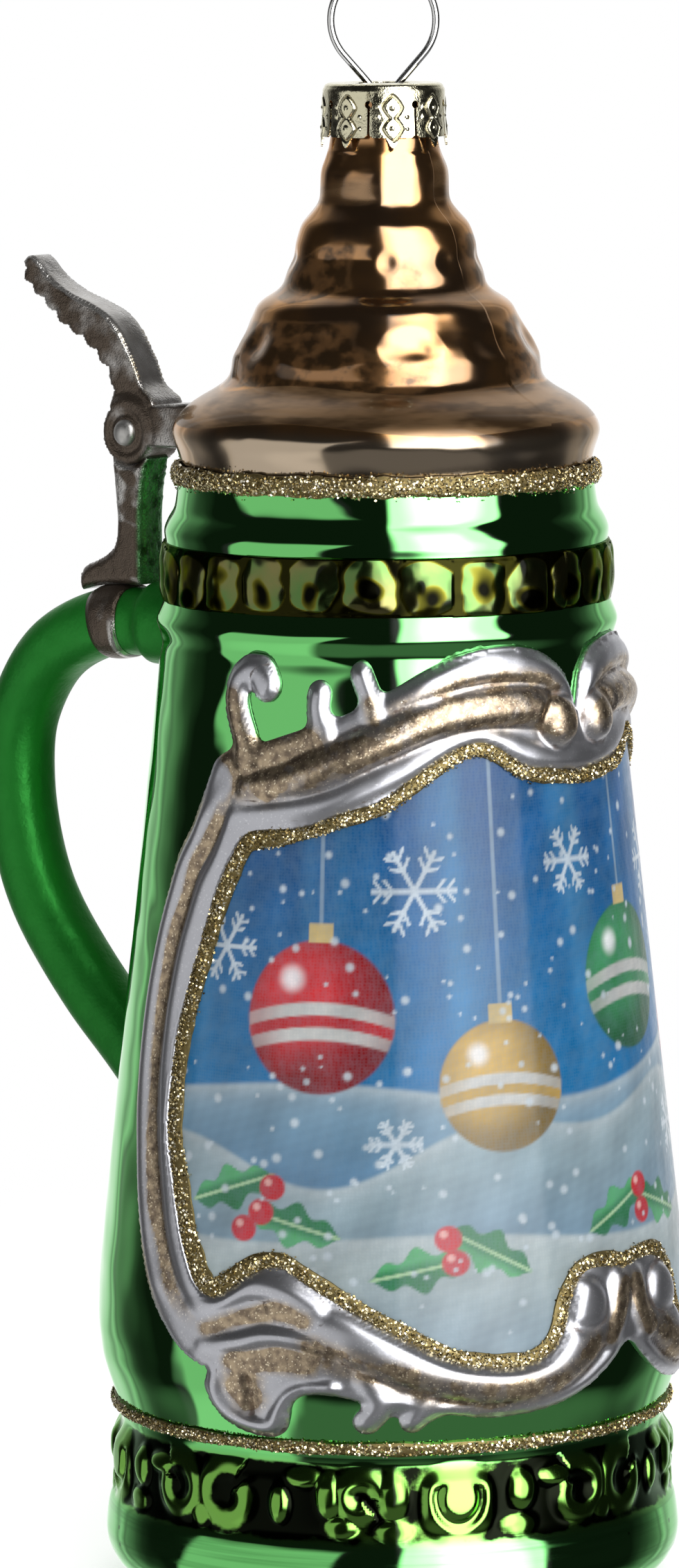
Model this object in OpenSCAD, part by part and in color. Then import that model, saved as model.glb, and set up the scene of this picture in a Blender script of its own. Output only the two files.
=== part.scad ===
// Beer stein ornament: a hollow blown-glass stein with its lid, a raised scroll frame round
// a picture, a handle with a thumb lift, a crown cap and a spring-wire hanger.
// Millimetres, +Z up. The origin is the centre of the flat base.
// The picture faces -Y and the handle stands out along +Y.

/* [Glass body] */
// Thickness of the blown glass
glass_wall = 1; // [0.8:0.1:1.5]
// Radius of the flat that the stein stands on
base_flat_r = 22.3; // [20:0.1:24]
// Rounding from the flat to the side of the foot
foot_round = 5; // [4:0.1:6]
// Height of the slope from the foot to its relief band
foot_slope_h = 4.5; // [3:0.1:6]
// Height of the foot's relief band
foot_band_h = 4; // [3:0.1:6]
// How far the relief band lies inside the foot
foot_band_in = 0.9; // [0.6:0.1:1.5]
// Height from the relief band to the groove above it
foot_groove_h = 2.5; // [2:0.1:4]
// How far the groove above the foot lies inside it
foot_groove_in = 1.55; // [1.2:0.05:2.2]
// Height from the groove to the widest ring of the belly
belly_h = 8; // [6:0.1:10]
// How far the belly stands out of the foot
belly_out = 0.5; // [0:0.1:1.5]
// Height from the belly to the foot of the straight wall
belly_top_h = 9; // [7:0.1:11]
// How far the foot of the wall lies inside the belly
wall_low_in = 0.5; // [0.2:0.1:1.5]
// Height of the straight tapering wall
wall_h = 55; // [48:0.5:62]
// Radius of the wall at its top
wall_high_r = 21.4; // [20.5:0.1:22.5]

/* [Collar] */
// Height from the wall to the groove under the collar
collar_groove_h = 1.4; // [1:0.1:2]
// Radius of the groove under the collar
collar_groove_r = 21.1; // [20.2:0.1:21.4]
// Height from the groove to the crest of the lower ring
low_ring_h = 2; // [1.5:0.1:3]
// Radius of the lower ring
low_ring_r = 21.8; // [21.4:0.1:22.5]
// Height from the lower ring to the bead band
bead_gap_h = 2; // [1.5:0.1:3]
// Radius of the ground of the bead band
bead_ground_r = 20.8; // [20:0.1:21.3]
// Height of the bead band
bead_band_h = 5.2; // [4.5:0.1:6]
// Beads round the band
bead_count = 26; // [24:1:40]
// How far the beads stand out of their ground
bead_proud = 0.65; // [0.4:0.05:0.9]
// Height from the bead band to the upper ring
high_ring_h = 1.3; // [1:0.1:2]
// Radius of the upper ring
high_ring_r = 20.95; // [20.3:0.05:21.5]
// Height from the upper ring to the lip
lip_fall_h = 2.3; // [1.8:0.1:3]
// How far the lip lies inside the lid's rim
lip_in = 0.5; // [0.2:0.1:1]
// Height of the lip up to the seam with the lid
lip_h = 2.8; // [2.4:0.1:4]

/* [Lid] */
// Height of the lip above the seam
lid_lip_h = 1.6; // [1.4:0.1:2]
// Height from the lip to the widest ring of the lid
rim_h = 2.6; // [2:0.1:3.5]
// Radius of the lid's rim
rim_r = 20.1; // [19.6:0.1:21]
// Height of the lid's shoulder
shoulder_h = 5.4; // [4.5:0.1:6.5]
// Radius of the lower tier
low_tier_r = 14.5; // [13.5:0.1:15.5]
// Height of the lower tier
low_tier_h = 6.5; // [5.5:0.1:7.5]
// Radius of the lower tier's top edge
low_tier_top_r = 12; // [11:0.1:13]
// Height of the step between the two tiers
tier_step_h = 1.8; // [1.4:0.1:2.4]
// Radius at the foot of the upper tier
high_tier_r = 9.4; // [8.8:0.1:10]
// Height of the upper tier
high_tier_h = 4.4; // [3.6:0.1:5.2]
// Radius of the upper tier's top edge
high_tier_top_r = 8.4; // [7.8:0.1:8.8]
// Height from the upper tier to the neck's bulge
bulge_step_h = 3.3; // [2.8:0.1:4]
// Radius of the bulge under the neck
bulge_r = 6; // [5.6:0.1:6.5]
// Height of the bulge
bulge_h = 5; // [4:0.1:6]
// Outer radius of the neck
neck_r = 5; // [4.6:0.1:5.3]
// Height of the neck above the bulge
neck_h = 5.4; // [4.5:0.1:7]

/* [Frame and picture] */
// How far the scroll frame's ridges stand out of the glass
frame_relief = 1.15; // [0.8:0.05:1.6]
// Space between the frame's lower tips and the glitter on the foot
frame_margin = 0.15; // [0.1:0.05:1.2]
// Height from the frame's top to the crest of the collar's lower ring
frame_top_gap = 1; // [0.8:0.1:2]
// Thickness of the picture skin
picture_skin = 0.12; // [0.08:0.01:0.2]
// Width of the line of glitter round the picture
glitter_w = 2; // [1.4:0.1:2.4]
// Width of the ring of glitter under the lid
lid_glitter_w = 2.4; // [1.6:0.1:2.8]
// Width of the ring of glitter above the foot
foot_glitter_w = 1.6; // [1.2:0.1:2.4]
// Height of that ring's middle above the groove
foot_glitter_rise = 1.1; // [0:0.1:2]
// Thickness of the glitter
glitter_t = 0.55; // [0.3:0.05:0.7]

/* [Handle] */
// Reach of the handle's centre line from the wall
handle_reach = 25; // [20:0.2:28]
// Height between the handle's two joints on the wall
handle_drop = 46.4; // [40:0.2:50]
// Space between the handle's collar and the bead band
collar_gap = 0.1; // [0.1:0.1:1]
// Width of the handle's bar, across
bar_w = 6.6; // [5:0.1:8]
// Depth of the handle's bar, from its inner to its outer side
bar_d = 6.6; // [5:0.1:7]
// How much wider the round collar is where the bar meets the wall
bar_flare = 1.22; // [1:0.02:1.4]
// Length of that collar
collar_run = 8; // [5:0.5:8.5]
// Height of the spur on the handle's back
spur_h = 1.8; // [1:0.1:3]
// Thickness of the strap round the handle
band_t = 0.35; // [0.25:0.05:0.6]

/* [Thumb lift] */
// Distance of the hinge post from the wall's upper edge
post_out = 8.6; // [8:0.1:10.5]
// Width of the post across the handle
post_w = 4.1; // [3.4:0.1:5]
// Depth of the post at its waist, from the mug outwards
post_d = 2.9; // [2.4:0.1:4]
// Radius of the hinge knuckle
knuckle_r = 3; // [2.4:0.1:3.4]
// Height of the knuckle below the lid's rim
knuckle_drop = 1.6; // [0.8:0.1:2]
// Width of the post's eye between the lift's cheeks
eye_w = 1.6; // [1.2:0.1:2]
// Width of the knuckle and of the arm to the lid
lift_w = 5; // [4:0.1:5.6]
// Width of the lever for the thumb
lever_w = 4; // [3:0.1:4]
// Width of the lever at its tip
lever_tip_w = 3; // [1.4:0.1:3]
// Height of the lever above the knuckle's middle
lever_h = 16.7; // [14:0.1:18]
// Reach of the lever's tip beyond the knuckle's middle
lever_reach = 13.9; // [11:0.1:14]
// Radius of the rivet
rivet_r = 0.8; // [0.6:0.05:1]
// Radius of the rivet's dome heads
rivet_head_r = 1.3; // [1.1:0.05:1.6]

/* [Cap and hanger] */
// Thickness of the cap's sheet metal
cap_t = 0.35; // [0.25:0.05:0.5]
// Space between the neck and the cap's skirt
cap_gap = 0.5; // [0.4:0.05:0.7]
// Height of the cap
cap_h = 5.9; // [5:0.1:6.5]
// How far the skirt flares at its lower edge
cap_flare = 0.25; // [0.1:0.05:0.4]
// Panels round the cap, each with a point at its lower edge
cap_points = 8; // [6:1:10]
// Radius of the hanger's wire
wire_r = 0.35; // [0.25:0.05:0.45]
// Radius of the hanger's loop, at the middle of the wire
loop_r = 4.9; // [4.6:0.1:6]
// Height of the loop's centre above the cap
loop_rise = 5.8; // [5.6:0.1:7]
// Length of the spring legs below the cap's top
leg_h = 23; // [16:0.5:26]
// Half the width of the wire's waist in the cap
waist_half = 1.25; // [0.9:0.05:1.5]
// Which way the loop faces, turned from the picture
loop_turn = -51.5; // [-180:0.5:180]
// Where a slit of the cap lies, turned from the picture
cap_turn = -21; // [-180:0.5:180]

/* [Hidden] */
$fn = 72;

// Clearance between pieces that are fixed to each other
seat_gap = 0.05;
// Clearance between the curved glass and the flat facets of what lies on it
skin_gap = 0.12;
// Clearance under the scroll frame, whose facets are wider
frame_gap = 0.26;
// Clearance between the cap's plate and the rim of the neck
cap_seat_gap = 0.1;
// Clearance of the wire in the hole of the cap
hole_gap = 0.8;
// Clearance of the spring legs in the bore of the neck
leg_gap = 0.4;
// Steps of a curve between two of its stations
line_steps = 6;

// Heights up the stein, each from the one below it
foot_band_z = foot_round + foot_slope_h;
foot_band_top_z = foot_band_z + foot_band_h;
foot_groove_z = foot_band_top_z + foot_groove_h;
belly_z = foot_groove_z + belly_h;
wall_low_z = belly_z + belly_top_h;
wall_high_z = wall_low_z + wall_h;
collar_groove_z = wall_high_z + collar_groove_h;
low_ring_z = collar_groove_z + low_ring_h;
bead_low_z = low_ring_z + bead_gap_h;
bead_high_z = bead_low_z + bead_band_h;
high_ring_z = bead_high_z + high_ring_h;
lip_z = high_ring_z + lip_fall_h;
seam_z = lip_z + lip_h;
lid_lip_z = seam_z + lid_lip_h;
rim_z = lid_lip_z + rim_h;
low_tier_z = rim_z + shoulder_h;
low_tier_top_z = low_tier_z + low_tier_h;
high_tier_z = low_tier_top_z + tier_step_h;
high_tier_top_z = high_tier_z + high_tier_h;
bulge_z = high_tier_top_z + bulge_step_h;
neck_z = bulge_z + bulge_h;
neck_top_z = neck_z + neck_h;

// Radii that follow the foot and the lid's rim
foot_r = base_flat_r + foot_round;
foot_band_r = foot_r - foot_band_in;
foot_groove_r = foot_r - foot_groove_in;
belly_r = foot_r + belly_out;
wall_low_r = belly_r - wall_low_in;
lip_r = rim_r - lip_in;

// A soft S from station a to station b, as [height, radius] points, without b itself
function eased(a, b) = [
    for (i = [0:line_steps - 1])
        let (t = i / line_steps)
        [a.x + (b.x - a.x) * t, a.y + (b.y - a.y) * t * t * (3 - 2 * t)]
];

// A profile line that eases from station to station
function line_through(stations) = [
    for (i = [0:len(stations) - 2]) each eased(stations[i], stations[i + 1]),
    stations[len(stations) - 1]
];

// The outside of the body as [height, radius], from the flat up to the seam
foot_line = [
    for (a = [0:15:75])
        [foot_round * (1 - cos(a)), base_flat_r + foot_round * sin(a)]
];
belly_line = line_through([
    [foot_round, foot_r],
    [foot_band_z, foot_band_r],
    [foot_band_top_z, foot_band_r],
    [foot_groove_z, foot_groove_r],
    [belly_z, belly_r],
    [wall_low_z, wall_low_r]
]);
collar_line = line_through([
    [wall_high_z, wall_high_r],
    [collar_groove_z, collar_groove_r],
    [low_ring_z, low_ring_r],
    [bead_low_z, bead_ground_r],
    [bead_high_z, bead_ground_r],
    [high_ring_z, high_ring_r],
    [lip_z, lip_r],
    [seam_z, lip_r]
]);
body_line = concat(foot_line, belly_line, collar_line);

// The outside of the lid as [height, radius], from the seam up to the top of the neck
shoulder_start_h = 0.6;
tier_edge_h = 1;
high_tier_edge_h = 3.2;
bulge_edge_h = 2.3;
lid_line = line_through([
    [seam_z, lip_r],
    [lid_lip_z, lip_r],
    [rim_z, rim_r],
    [rim_z + shoulder_start_h, rim_r],
    [low_tier_z, low_tier_r],
    [low_tier_z + tier_edge_h, low_tier_r],
    [low_tier_top_z, low_tier_top_r],
    [high_tier_z, high_tier_r],
    [high_tier_z + high_tier_edge_h, high_tier_top_r],
    [high_tier_top_z, high_tier_top_r],
    [bulge_z, bulge_r],
    [bulge_z + bulge_edge_h, bulge_r],
    [neck_z, neck_r],
    [neck_top_z, neck_r]
]);

// Radius of the glass at a height on the body
function wall_radius(z) = lookup(z, body_line);

// A turned solid under a profile line, grown outwards
module turned(line, grow) {
    first = line[0].x;
    last = line[len(line) - 1].x;
    rotate_extrude()
        polygon([[0, first], for (p = line) [p.y + grow, p.x], [0, last]]);
}

// The hollow inside a profile line, open at the top
module hollow(line, floor_z) {
    above = [for (p = line) if (p.x > floor_z) p];
    last = line[len(line) - 1];
    rotate_extrude()
        polygon([
            [0, floor_z],
            [lookup(floor_z, line) - glass_wall, floor_z],
            for (p = above) [p.y - glass_wall, p.x],
            [last.y - glass_wall, last.x + glass_wall],
            [0, last.x + glass_wall]
        ]);
}

module stein_body() {
    color("forestgreen")
    difference() {
        turned(body_line, 0);
        hollow(body_line, glass_wall);
    }
}

module stein_lid() {
    color("peru")
    difference() {
        turned(lid_line, 0);
        translate([0, 0, -glass_wall])
            cylinder(r = lip_r - glass_wall, h = seam_z + 2 * glass_wall);
        hollow(lid_line, seam_z + glass_wall / 2);
    }
}

// Outlines on the wall, as [angle from the picture's middle, height], for the right-hand half.
// The left-hand half mirrors it. Each stretch is the picture's edge beside the frame's outer edge,
// from the top middle round to the bottom middle.
frame_stretches = [
    [[[0, 77.9], [10, 78.3], [17, 78.7], [22, 79.7], [26, 80.8], [30, 81.2]],
     [[0, 84], [3, 87.4], [9, 89.4], [17, 90.3], [26, 90.4], [34, 89.8]]],
    [[[30, 81.2], [35, 80.7], [42, 79.1], [52, 76.3]],
     [[34, 89.8], [42, 88.6], [50, 86.9], [53, 86.2]]],
    [[[52, 76.3], [58, 75.4]],
     [[53, 86.2], [54, 88.4], [57, 89.2], [60, 88.2], [60.5, 85], [64, 84.2]]],
    [[[58, 75.4], [63, 74.8], [68, 74]],
     [[64, 84.2], [65, 87], [68, 88.1], [71, 87], [71.5, 83.6], [77, 82.6]]],
    [[[68, 74], [75, 73.3], [81, 73], [84.5, 72.6], [86.5, 71.6]],
     [[77, 82.6], [80, 83.6], [80.5, 87], [83, 89], [88, 90], [93, 89.3], [95.5, 87], [95.5, 84], [98.5, 77.5]]],
    [[[86.5, 71.6], [91, 67.8], [94, 63.8], [97, 59.5], [100, 54.5], [101, 49], [100.5, 45], [98, 41], [95, 36.6],
      [92.5, 34]],
     [[98.5, 77.5], [102, 73.9], [107, 70.3], [112, 64.3], [115, 58.5], [116, 52.5], [115.5, 47.5], [113.5, 42],
      [110.5, 36.5], [106.5, 31.8], [101.5, 28]]],
    [[[92.5, 34], [90.5, 32.4], [88, 31.6], [85, 32.2], [80, 33.9], [76, 34.7], [72, 34.6]],
     [[101.5, 28], [96, 24.6], [91.5, 22.6], [88, 20.2], [83, 18.5], [77, 18], [72.5, 18.5], [70.5, 20.2],
      [69, 22.3], [64, 22.6]]],
    [[[72, 34.6], [68, 33.5], [60, 31.3], [55, 29.9]],
     [[64, 22.6], [59.5, 22], [58.5, 19.4], [56, 18.7], [53.5, 19.7], [50, 19.2], [46.5, 18.9], [44.5, 20.4]]],
    [[[55, 29.9], [50, 28.6], [41, 26.4], [35, 25.6], [28, 25.3], [23, 25.7], [20, 26.7]],
     [[44.5, 20.4], [40, 20.5], [33, 20], [25, 20.1], [17, 20.8], [11, 22]]],
    [[[20, 26.7], [18, 28.4], [17, 30.2], [15, 32], [12, 33.3], [6, 33.6], [0, 33.1]],
     [[11, 22], [7, 23.2], [4, 24.3], [2, 25.2], [0, 25.6]]]
];
// Heights in the drawing run from the frame's lowest point to its highest, and follow the wall
drawn_heights = [for (s = frame_stretches, p = s[1]) p.y];
foot_glitter_z = foot_groove_z + foot_glitter_rise;
frame_low_z = foot_glitter_z + foot_glitter_w / 2 + frame_margin;
frame_high_z = low_ring_z - frame_top_gap;
frame_stretch = (frame_high_z - frame_low_z) / (max(drawn_heights) - min(drawn_heights));
function frame_z(z) = frame_low_z + (z - min(drawn_heights)) * frame_stretch;

// Rings of the frame in one stretch
stretch_rings = 8;
// Millimetres along the wall to a degree, at the middle of the frame
arc_mm = PI / 180 * wall_radius((frame_low_z + frame_high_z) / 2);

// Outline points as millimetres along and up the unrolled wall
function unrolled(points) = [for (p = points) [p.x * arc_mm, frame_z(p.y)]];

// A smooth curve through points, with a few steps between each pair
function smooth(p) = [
    for (i = [0:len(p) - 2])
        let (a = p[max(i - 1, 0)], b = p[i], c = p[i + 1], d = p[min(i + 2, len(p) - 1)])
        for (k = [0:line_steps - 1])
            let (t = k / line_steps)
            b + ((c - a) * t + (2 * a - 5 * b + 4 * c - d) * t * t + (3 * b - a - 3 * c + d) * t * t * t) / 2,
    p[len(p) - 1]
];

// Distance along a line at each of its points
function distances(p) = [
    for (i = 0, s = 0; i < len(p); s = s + (i + 1 < len(p) ? norm(p[i + 1] - p[i]) : 0), i = i + 1) s
];

// Points at even steps along a line, without its last one
function stepped(p, count) =
    let (
        run = distances(p),
        xs = [for (i = [0:len(p) - 1]) [run[i], p[i].x]],
        ys = [for (i = [0:len(p) - 1]) [run[i], p[i].y]],
        total = run[len(run) - 1]
    )
    [for (k = [0:count - 1]) [lookup(total * k / count, xs), lookup(total * k / count, ys)]];

// Both halves of a closed line, from its right-hand half and its last point
function closed(half, end) = [
    each half,
    end,
    for (i = [len(half) - 1:-1:1]) [-half[i].x, half[i].y]
];

function half_line(side) = [
    for (s = frame_stretches) each stepped(smooth(unrolled(s[side])), stretch_rings)
];
function line_end(side) =
    let (last = frame_stretches[len(frame_stretches) - 1][side])
    unrolled([last[len(last) - 1]])[0];

picture_edge = closed(half_line(0), line_end(0));
frame_edge = closed(half_line(1), line_end(1));

// Unit vector out of a closed line that runs round to the right
function outward(p, i) =
    let (n = len(p), d = p[(i + 1) % n] - p[(i + n - 1) % n])
    [-d.y, d.x] / norm(d);

// A point that lies off the glass by a lift, from its place on the unrolled wall
function on_glass(p, lift) =
    let (r = wall_radius(p.y) + lift, a = p.x / arc_mm)
    [r * sin(a), -r * cos(a), p.y];

// Faces of a skin over rings of points. A looped skin joins its last ring to its first.
// The two ends of an open skin are closed by strips between facing points.
function skin_faces(rings, sides, looped) = [
    for (i = [0:rings - (looped ? 1 : 2)], k = [0:sides - 1])
        let (
            a = i * sides + k,
            b = i * sides + (k + 1) % sides,
            c = (i + 1) % rings * sides + k,
            d = (i + 1) % rings * sides + (k + 1) % sides
        )
        each [[a, c, b], [b, c, d]],
    if (!looped)
        for (k = [0:sides / 2 - 1])
            let (a = k, b = k + 1, c = sides - k - 1, d = (sides - k) % sides, top = (rings - 1) * sides)
            each [
                if (c != b) [a, b, c],
                if (d != a) [a, c, d],
                if (c != b) [top + a, top + c, top + b],
                if (d != a) [top + a, top + d, top + c]
            ]
];

module skin(rings, looped) {
    sides = len(rings[0]);
    polyhedron([for (ring = rings) each ring], skin_faces(len(rings), sides, looped));
}

// Heights of the points up one bead, as shares of half its height, and columns of them to a bead
bead_rows = [-1, -0.85, -0.45, 0, 0.45, 0.85, 1];
bead_columns = 6;
// Share of the space between two beads that a bead fills
bead_fill = 0.74;
// Least thickness of the band between the beads, as a share of a bead's
bead_web = 0.15;
function bead_share(u, v) = max(bead_web, sqrt(max(0, 1 - u * u - v * v)));

module bead_band() {
    middle_z = bead_low_z + bead_band_h / 2;
    half_h = bead_band_h / 2 - seat_gap;
    columns = bead_count * bead_columns;
    color("darkolivegreen")
    skin([
        for (i = [0:columns - 1])
            let (
                a = i * 360 / columns,
                u = (i % bead_columns / bead_columns * 2 - 1) / bead_fill,
                low_r = bead_ground_r + skin_gap
            )
            [
                for (v = bead_rows)
                    let (r = low_r + bead_proud * bead_share(u, v))
                    [r * sin(a), -r * cos(a), middle_z + v * half_h],
                for (v = [1, -1])
                    [low_r * sin(a), -low_r * cos(a), middle_z + v * half_h]
            ]
    ], true);
}

// The frame's section from its inner to its outer edge: share of the width, share of the relief
frame_section = [
    [0, 0.1], [0.1, 0.55], [0.32, 0.85], [0.44, 0.65], [0.56, 0.42], [0.68, 0.68], [0.82, 1], [1, 0.1]
];

module scroll_frame() {
    count = len(picture_edge);
    inset = glitter_w / 2 + seat_gap;
    inner = [for (i = [0:count - 1]) picture_edge[i] + outward(picture_edge, i) * inset];
    color("silver")
    skin([
        for (i = [0:count - 1])
            [
                for (s = frame_section)
                    on_glass(inner[i] + (frame_edge[i] - inner[i]) * s.x, frame_gap + frame_relief * s.y),
                for (k = [len(frame_section) - 1:-1:0])
                    on_glass(inner[i] + (frame_edge[i] - inner[i]) * frame_section[k].x, frame_gap)
            ]
    ], true);
}

// The right-hand half of the picture's edge, split at its widest point
half_edge = [for (i = [0:len(picture_edge) / 2]) picture_edge[i]];
picture_reach = max([for (p = half_edge) p.x]);
widest = [for (i = [0:len(half_edge) - 1]) if (half_edge[i].x == picture_reach) i][0];
upper_edge = [for (i = [0:widest]) half_edge[i]];
lower_edge = [for (i = [widest:len(half_edge) - 1]) half_edge[i]];
picture_columns = 56;
// Heights of the skin's rows, as shares: close together over the belly, where the wall curves
picture_rows = [0, 0.03, 0.06, 0.1, 0.13, 0.17, 0.22, 1];
// How far the skin's upright ends lie inside the edge
picture_inset = 0.2;

// One upright row of points of the picture, at a place along the unrolled wall
function picture_column(x, lift) =
    let (low = lookup(abs(x), lower_edge), high = lookup(abs(x), upper_edge))
    [for (share = picture_rows) on_glass([x, low + (high - low) * share], lift)];

module picture_panel() {
    reach = picture_reach - picture_inset;
    color("steelblue")
    skin([
        for (i = [0:picture_columns])
            let (x = reach * (2 * i / picture_columns - 1), outer = picture_column(x, skin_gap + picture_skin))
            [each picture_column(x, skin_gap), for (j = [len(outer) - 1:-1:0]) outer[j]]
    ], false);
}

// The rounded section of a line of glitter: share of half the width, share of the thickness
glitter_section = [[-1, 0], [-0.65, 0.75], [0, 1], [0.65, 0.75], [1, 0]];

module picture_glitter() {
    lift = skin_gap + picture_skin + seat_gap;
    color("goldenrod")
    skin([
        for (i = [0:len(picture_edge) - 1])
            [
                for (s = glitter_section)
                    on_glass(picture_edge[i] + outward(picture_edge, i) * s.x * glitter_w / 2, lift + glitter_t * s.y)
            ]
    ], true);
}

// A ring of glitter round the glass
module glitter_ring(z, width) {
    color("goldenrod")
    rotate_extrude()
        polygon([
            for (s = glitter_section)
                let (at = z + s.x * width / 2)
                [wall_radius(at) + skin_gap + glitter_t * s.y, at],
            [wall_radius(z) + skin_gap, z]
        ]);
}

module lid_glitter() glitter_ring(seam_z, lid_glitter_w);

module foot_glitter() glitter_ring(foot_glitter_z, foot_glitter_w);

// The handle's centre line, as [distance from the axis, height]
handle_top_z = bead_low_z - collar_gap - bar_d / 2 * bar_flare;
handle_root_r = wall_radius(handle_top_z);
// Share of the reach, share of the drop
handle_curve = [
    [0, 0], [0.27, 0], [0.55, 0.01], [0.81, 0.08], [0.97, 0.21], [1, 0.35], [0.955, 0.5], [0.85, 0.63],
    [0.63, 0.78], [0.4, 0.9]
];
handle_foot_z = handle_top_z - handle_drop;
handle_line = smooth([
    for (p = handle_curve) [handle_root_r + p.x * handle_reach, handle_top_z - p.y * handle_drop],
    [wall_radius(handle_foot_z), handle_foot_z]
]);
bar_sides = 12;
// Where the spur starts along the line, and its length
spur_at = 28;
spur_run = 6;
// Length over which the collar narrows to the bar
collar_fall = 1.5;

function along(p, i) =
    let (d = p[min(i + 1, len(p) - 1)] - p[max(i - 1, 0)])
    d / norm(d);

// A ring of points round the bar, grown outwards. Its corners are between round and square.
function bar_ring(i, grow) =
    let (
        t = along(handle_line, i),
        run = distances(handle_line)[i],
        fall = min(1, max(0, (run - collar_run) / collar_fall + 1)),
        flare = 1 + (bar_flare - 1) * (1 - fall * fall * (3 - 2 * fall)),
        spur = run > spur_at && run < spur_at + spur_run ? (run - spur_at) / spur_run : 0
    )
    [
        for (k = [0:bar_sides - 1])
            let (
                a = 90 - k * 360 / bar_sides,
                square = pow(pow(abs(cos(a)), 3) + pow(abs(sin(a)), 3), -1 / 3),
                x = square * sin(a) * (bar_w / 2 * flare + grow),
                n = square * cos(a) * (bar_d / 2 * flare + grow) + (a == 0 ? spur * spur_h : 0)
            )
            [x, handle_line[i].x - t.y * n, handle_line[i].y + t.x * n]
    ];

// A ring pushed along Y until it lies on the glass, no nearer to the axis than a least radius
function seated(ring, least_r) = [
    for (p = ring)
        let (r = max(wall_radius(p.z), least_r) + skin_gap)
        [p.x, sqrt(r * r - p.x * p.x), p.z]
];

// Steps of the line left out between the seat of an end and the first free ring
seat_steps = [2, 4];

module handle() {
    last = len(handle_line) - 1;
    color("seagreen")
    skin([
        seated(bar_ring(0, 0), low_ring_r),
        for (i = [seat_steps.x:last - seat_steps.y]) bar_ring(i, 0),
        seated(bar_ring(last, 0), 0)
    ], false);
}

// The strap covers these steps of the handle's line
band_first = 9;
band_last = 12;
module handle_band() {
    inner = [for (i = [band_first:band_last]) bar_ring(i, seat_gap)];
    outer = [for (i = [band_last:-1:band_first]) bar_ring(i, seat_gap + band_t)];
    color("darkgoldenrod")
    skin(concat(inner, outer), true);
}

// A plate that stands in the handle's plane, from its outline in [distance from the axis, height]
module side_plate(width) {
    rotate([90, 0, 90])
        translate([0, 0, -width / 2])
            linear_extrude(width)
                children();
}

// A hole or pin across that plane
module cross_pin(at, radius, width) {
    translate([-width / 2, at.x, at.y])
        rotate([0, 90, 0])
            cylinder(r = radius, h = width);
}

knuckle = [wall_high_r + post_out, rim_z - knuckle_drop];
// How far the post's foot runs out along the handle
post_foot_out = 5;
// How much the post widens on each side, from its waist up to the knuckle
post_head = 0.8;
// How far the waist lies outside the knuckle's middle
post_lean = 0.25;
// Outer edge of the post: share of the foot's run, share of the post's height
post_edge = [
    [1, 0], [0.97, 0.06], [0.85, 0.12], [0.55, 0.19], [0.15, 0.27], [0.02, 0.34], [0, 0.46], [0, 0.6]
];
// Share of the height at which the inner edge starts to widen
post_head_at = 0.6;
// How far the post's head stays below the arm of the lift
post_head_gap = 0.2;
// The top of the handle and its strap, under the foot of the post
saddle_steps = 18;
saddle = [
    for (i = [1:saddle_steps])
        let (top = bar_ring(i, band_t + 2 * seat_gap)[bar_sides / 4])
        [top.y, top.z]
];

module hinge_post() {
    shoulder_z = knuckle.y - knuckle_r - seat_gap;
    head_z = knuckle.y - arm_low - post_head_gap;
    inside = knuckle.x + post_lean - post_d / 2;
    outside = inside + post_d;
    foot_end = outside + post_foot_out;
    foot_z = lookup(foot_end, saddle);
    post_h = shoulder_z - foot_z;
    color("slategray")
    difference() {
        union() {
            // The head is hollowed to cup the knuckle
            difference() {
                side_plate(post_w)
                    polygon([
                        [inside, lookup(inside, saddle)],
                        for (p = saddle) if (p.x > inside && p.x < foot_end) p,
                        for (p = post_edge) [outside + p.x * post_foot_out, foot_z + p.y * post_h],
                        [outside + post_head, shoulder_z],
                        [outside + post_head, head_z],
                        [inside - post_head, head_z],
                        [inside - post_head, shoulder_z],
                        [inside, foot_z + post_head_at * post_h]
                    ]);
                cross_pin(knuckle, knuckle_r + seat_gap, post_w + 1);
            }
            cross_pin(knuckle, knuckle_r, eye_w);
            side_plate(eye_w)
                translate([inside, shoulder_z - knuckle_r])
                    square([post_d, 2 * knuckle_r]);
        }
        cross_pin(knuckle, rivet_r + seat_gap, post_w + 1);
    }
}

// The lever's outline, as shares of its reach and height: its inner edge, its tip and its outer edge
lever_line = [
    [-0.176, 0.088], [-0.232, 0.176], [-0.111, 0.273], [-0.065, 0.361], [0.009, 0.473], [0.093, 0.581],
    [0.209, 0.673], [0.371, 0.735], [0.575, 0.795], [0.75, 0.88], [0.88, 0.985], [0.94, 1], [1, 0.955],
    [1, 0.89], [0.95, 0.83], [0.774, 0.713], [0.604, 0.6], [0.397, 0.503], [0.237, 0.376], [0.172, 0.268],
    [0.172, 0.059]
];
// The arm's upper edge, as distances out and up from the lid's rim
arm_line = [[0.4, 2.1], [2.4, 1.7], [5, 1.5]];
// Height of the arm above and below the knuckle's middle, where it leaves the knuckle
arm_top = 2.6;
arm_low = 1.3;
// How far the arm's tip lies inside the lid's rim and above it
arm_inset = 2.8;
arm_tip_h = 3.4;

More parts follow.
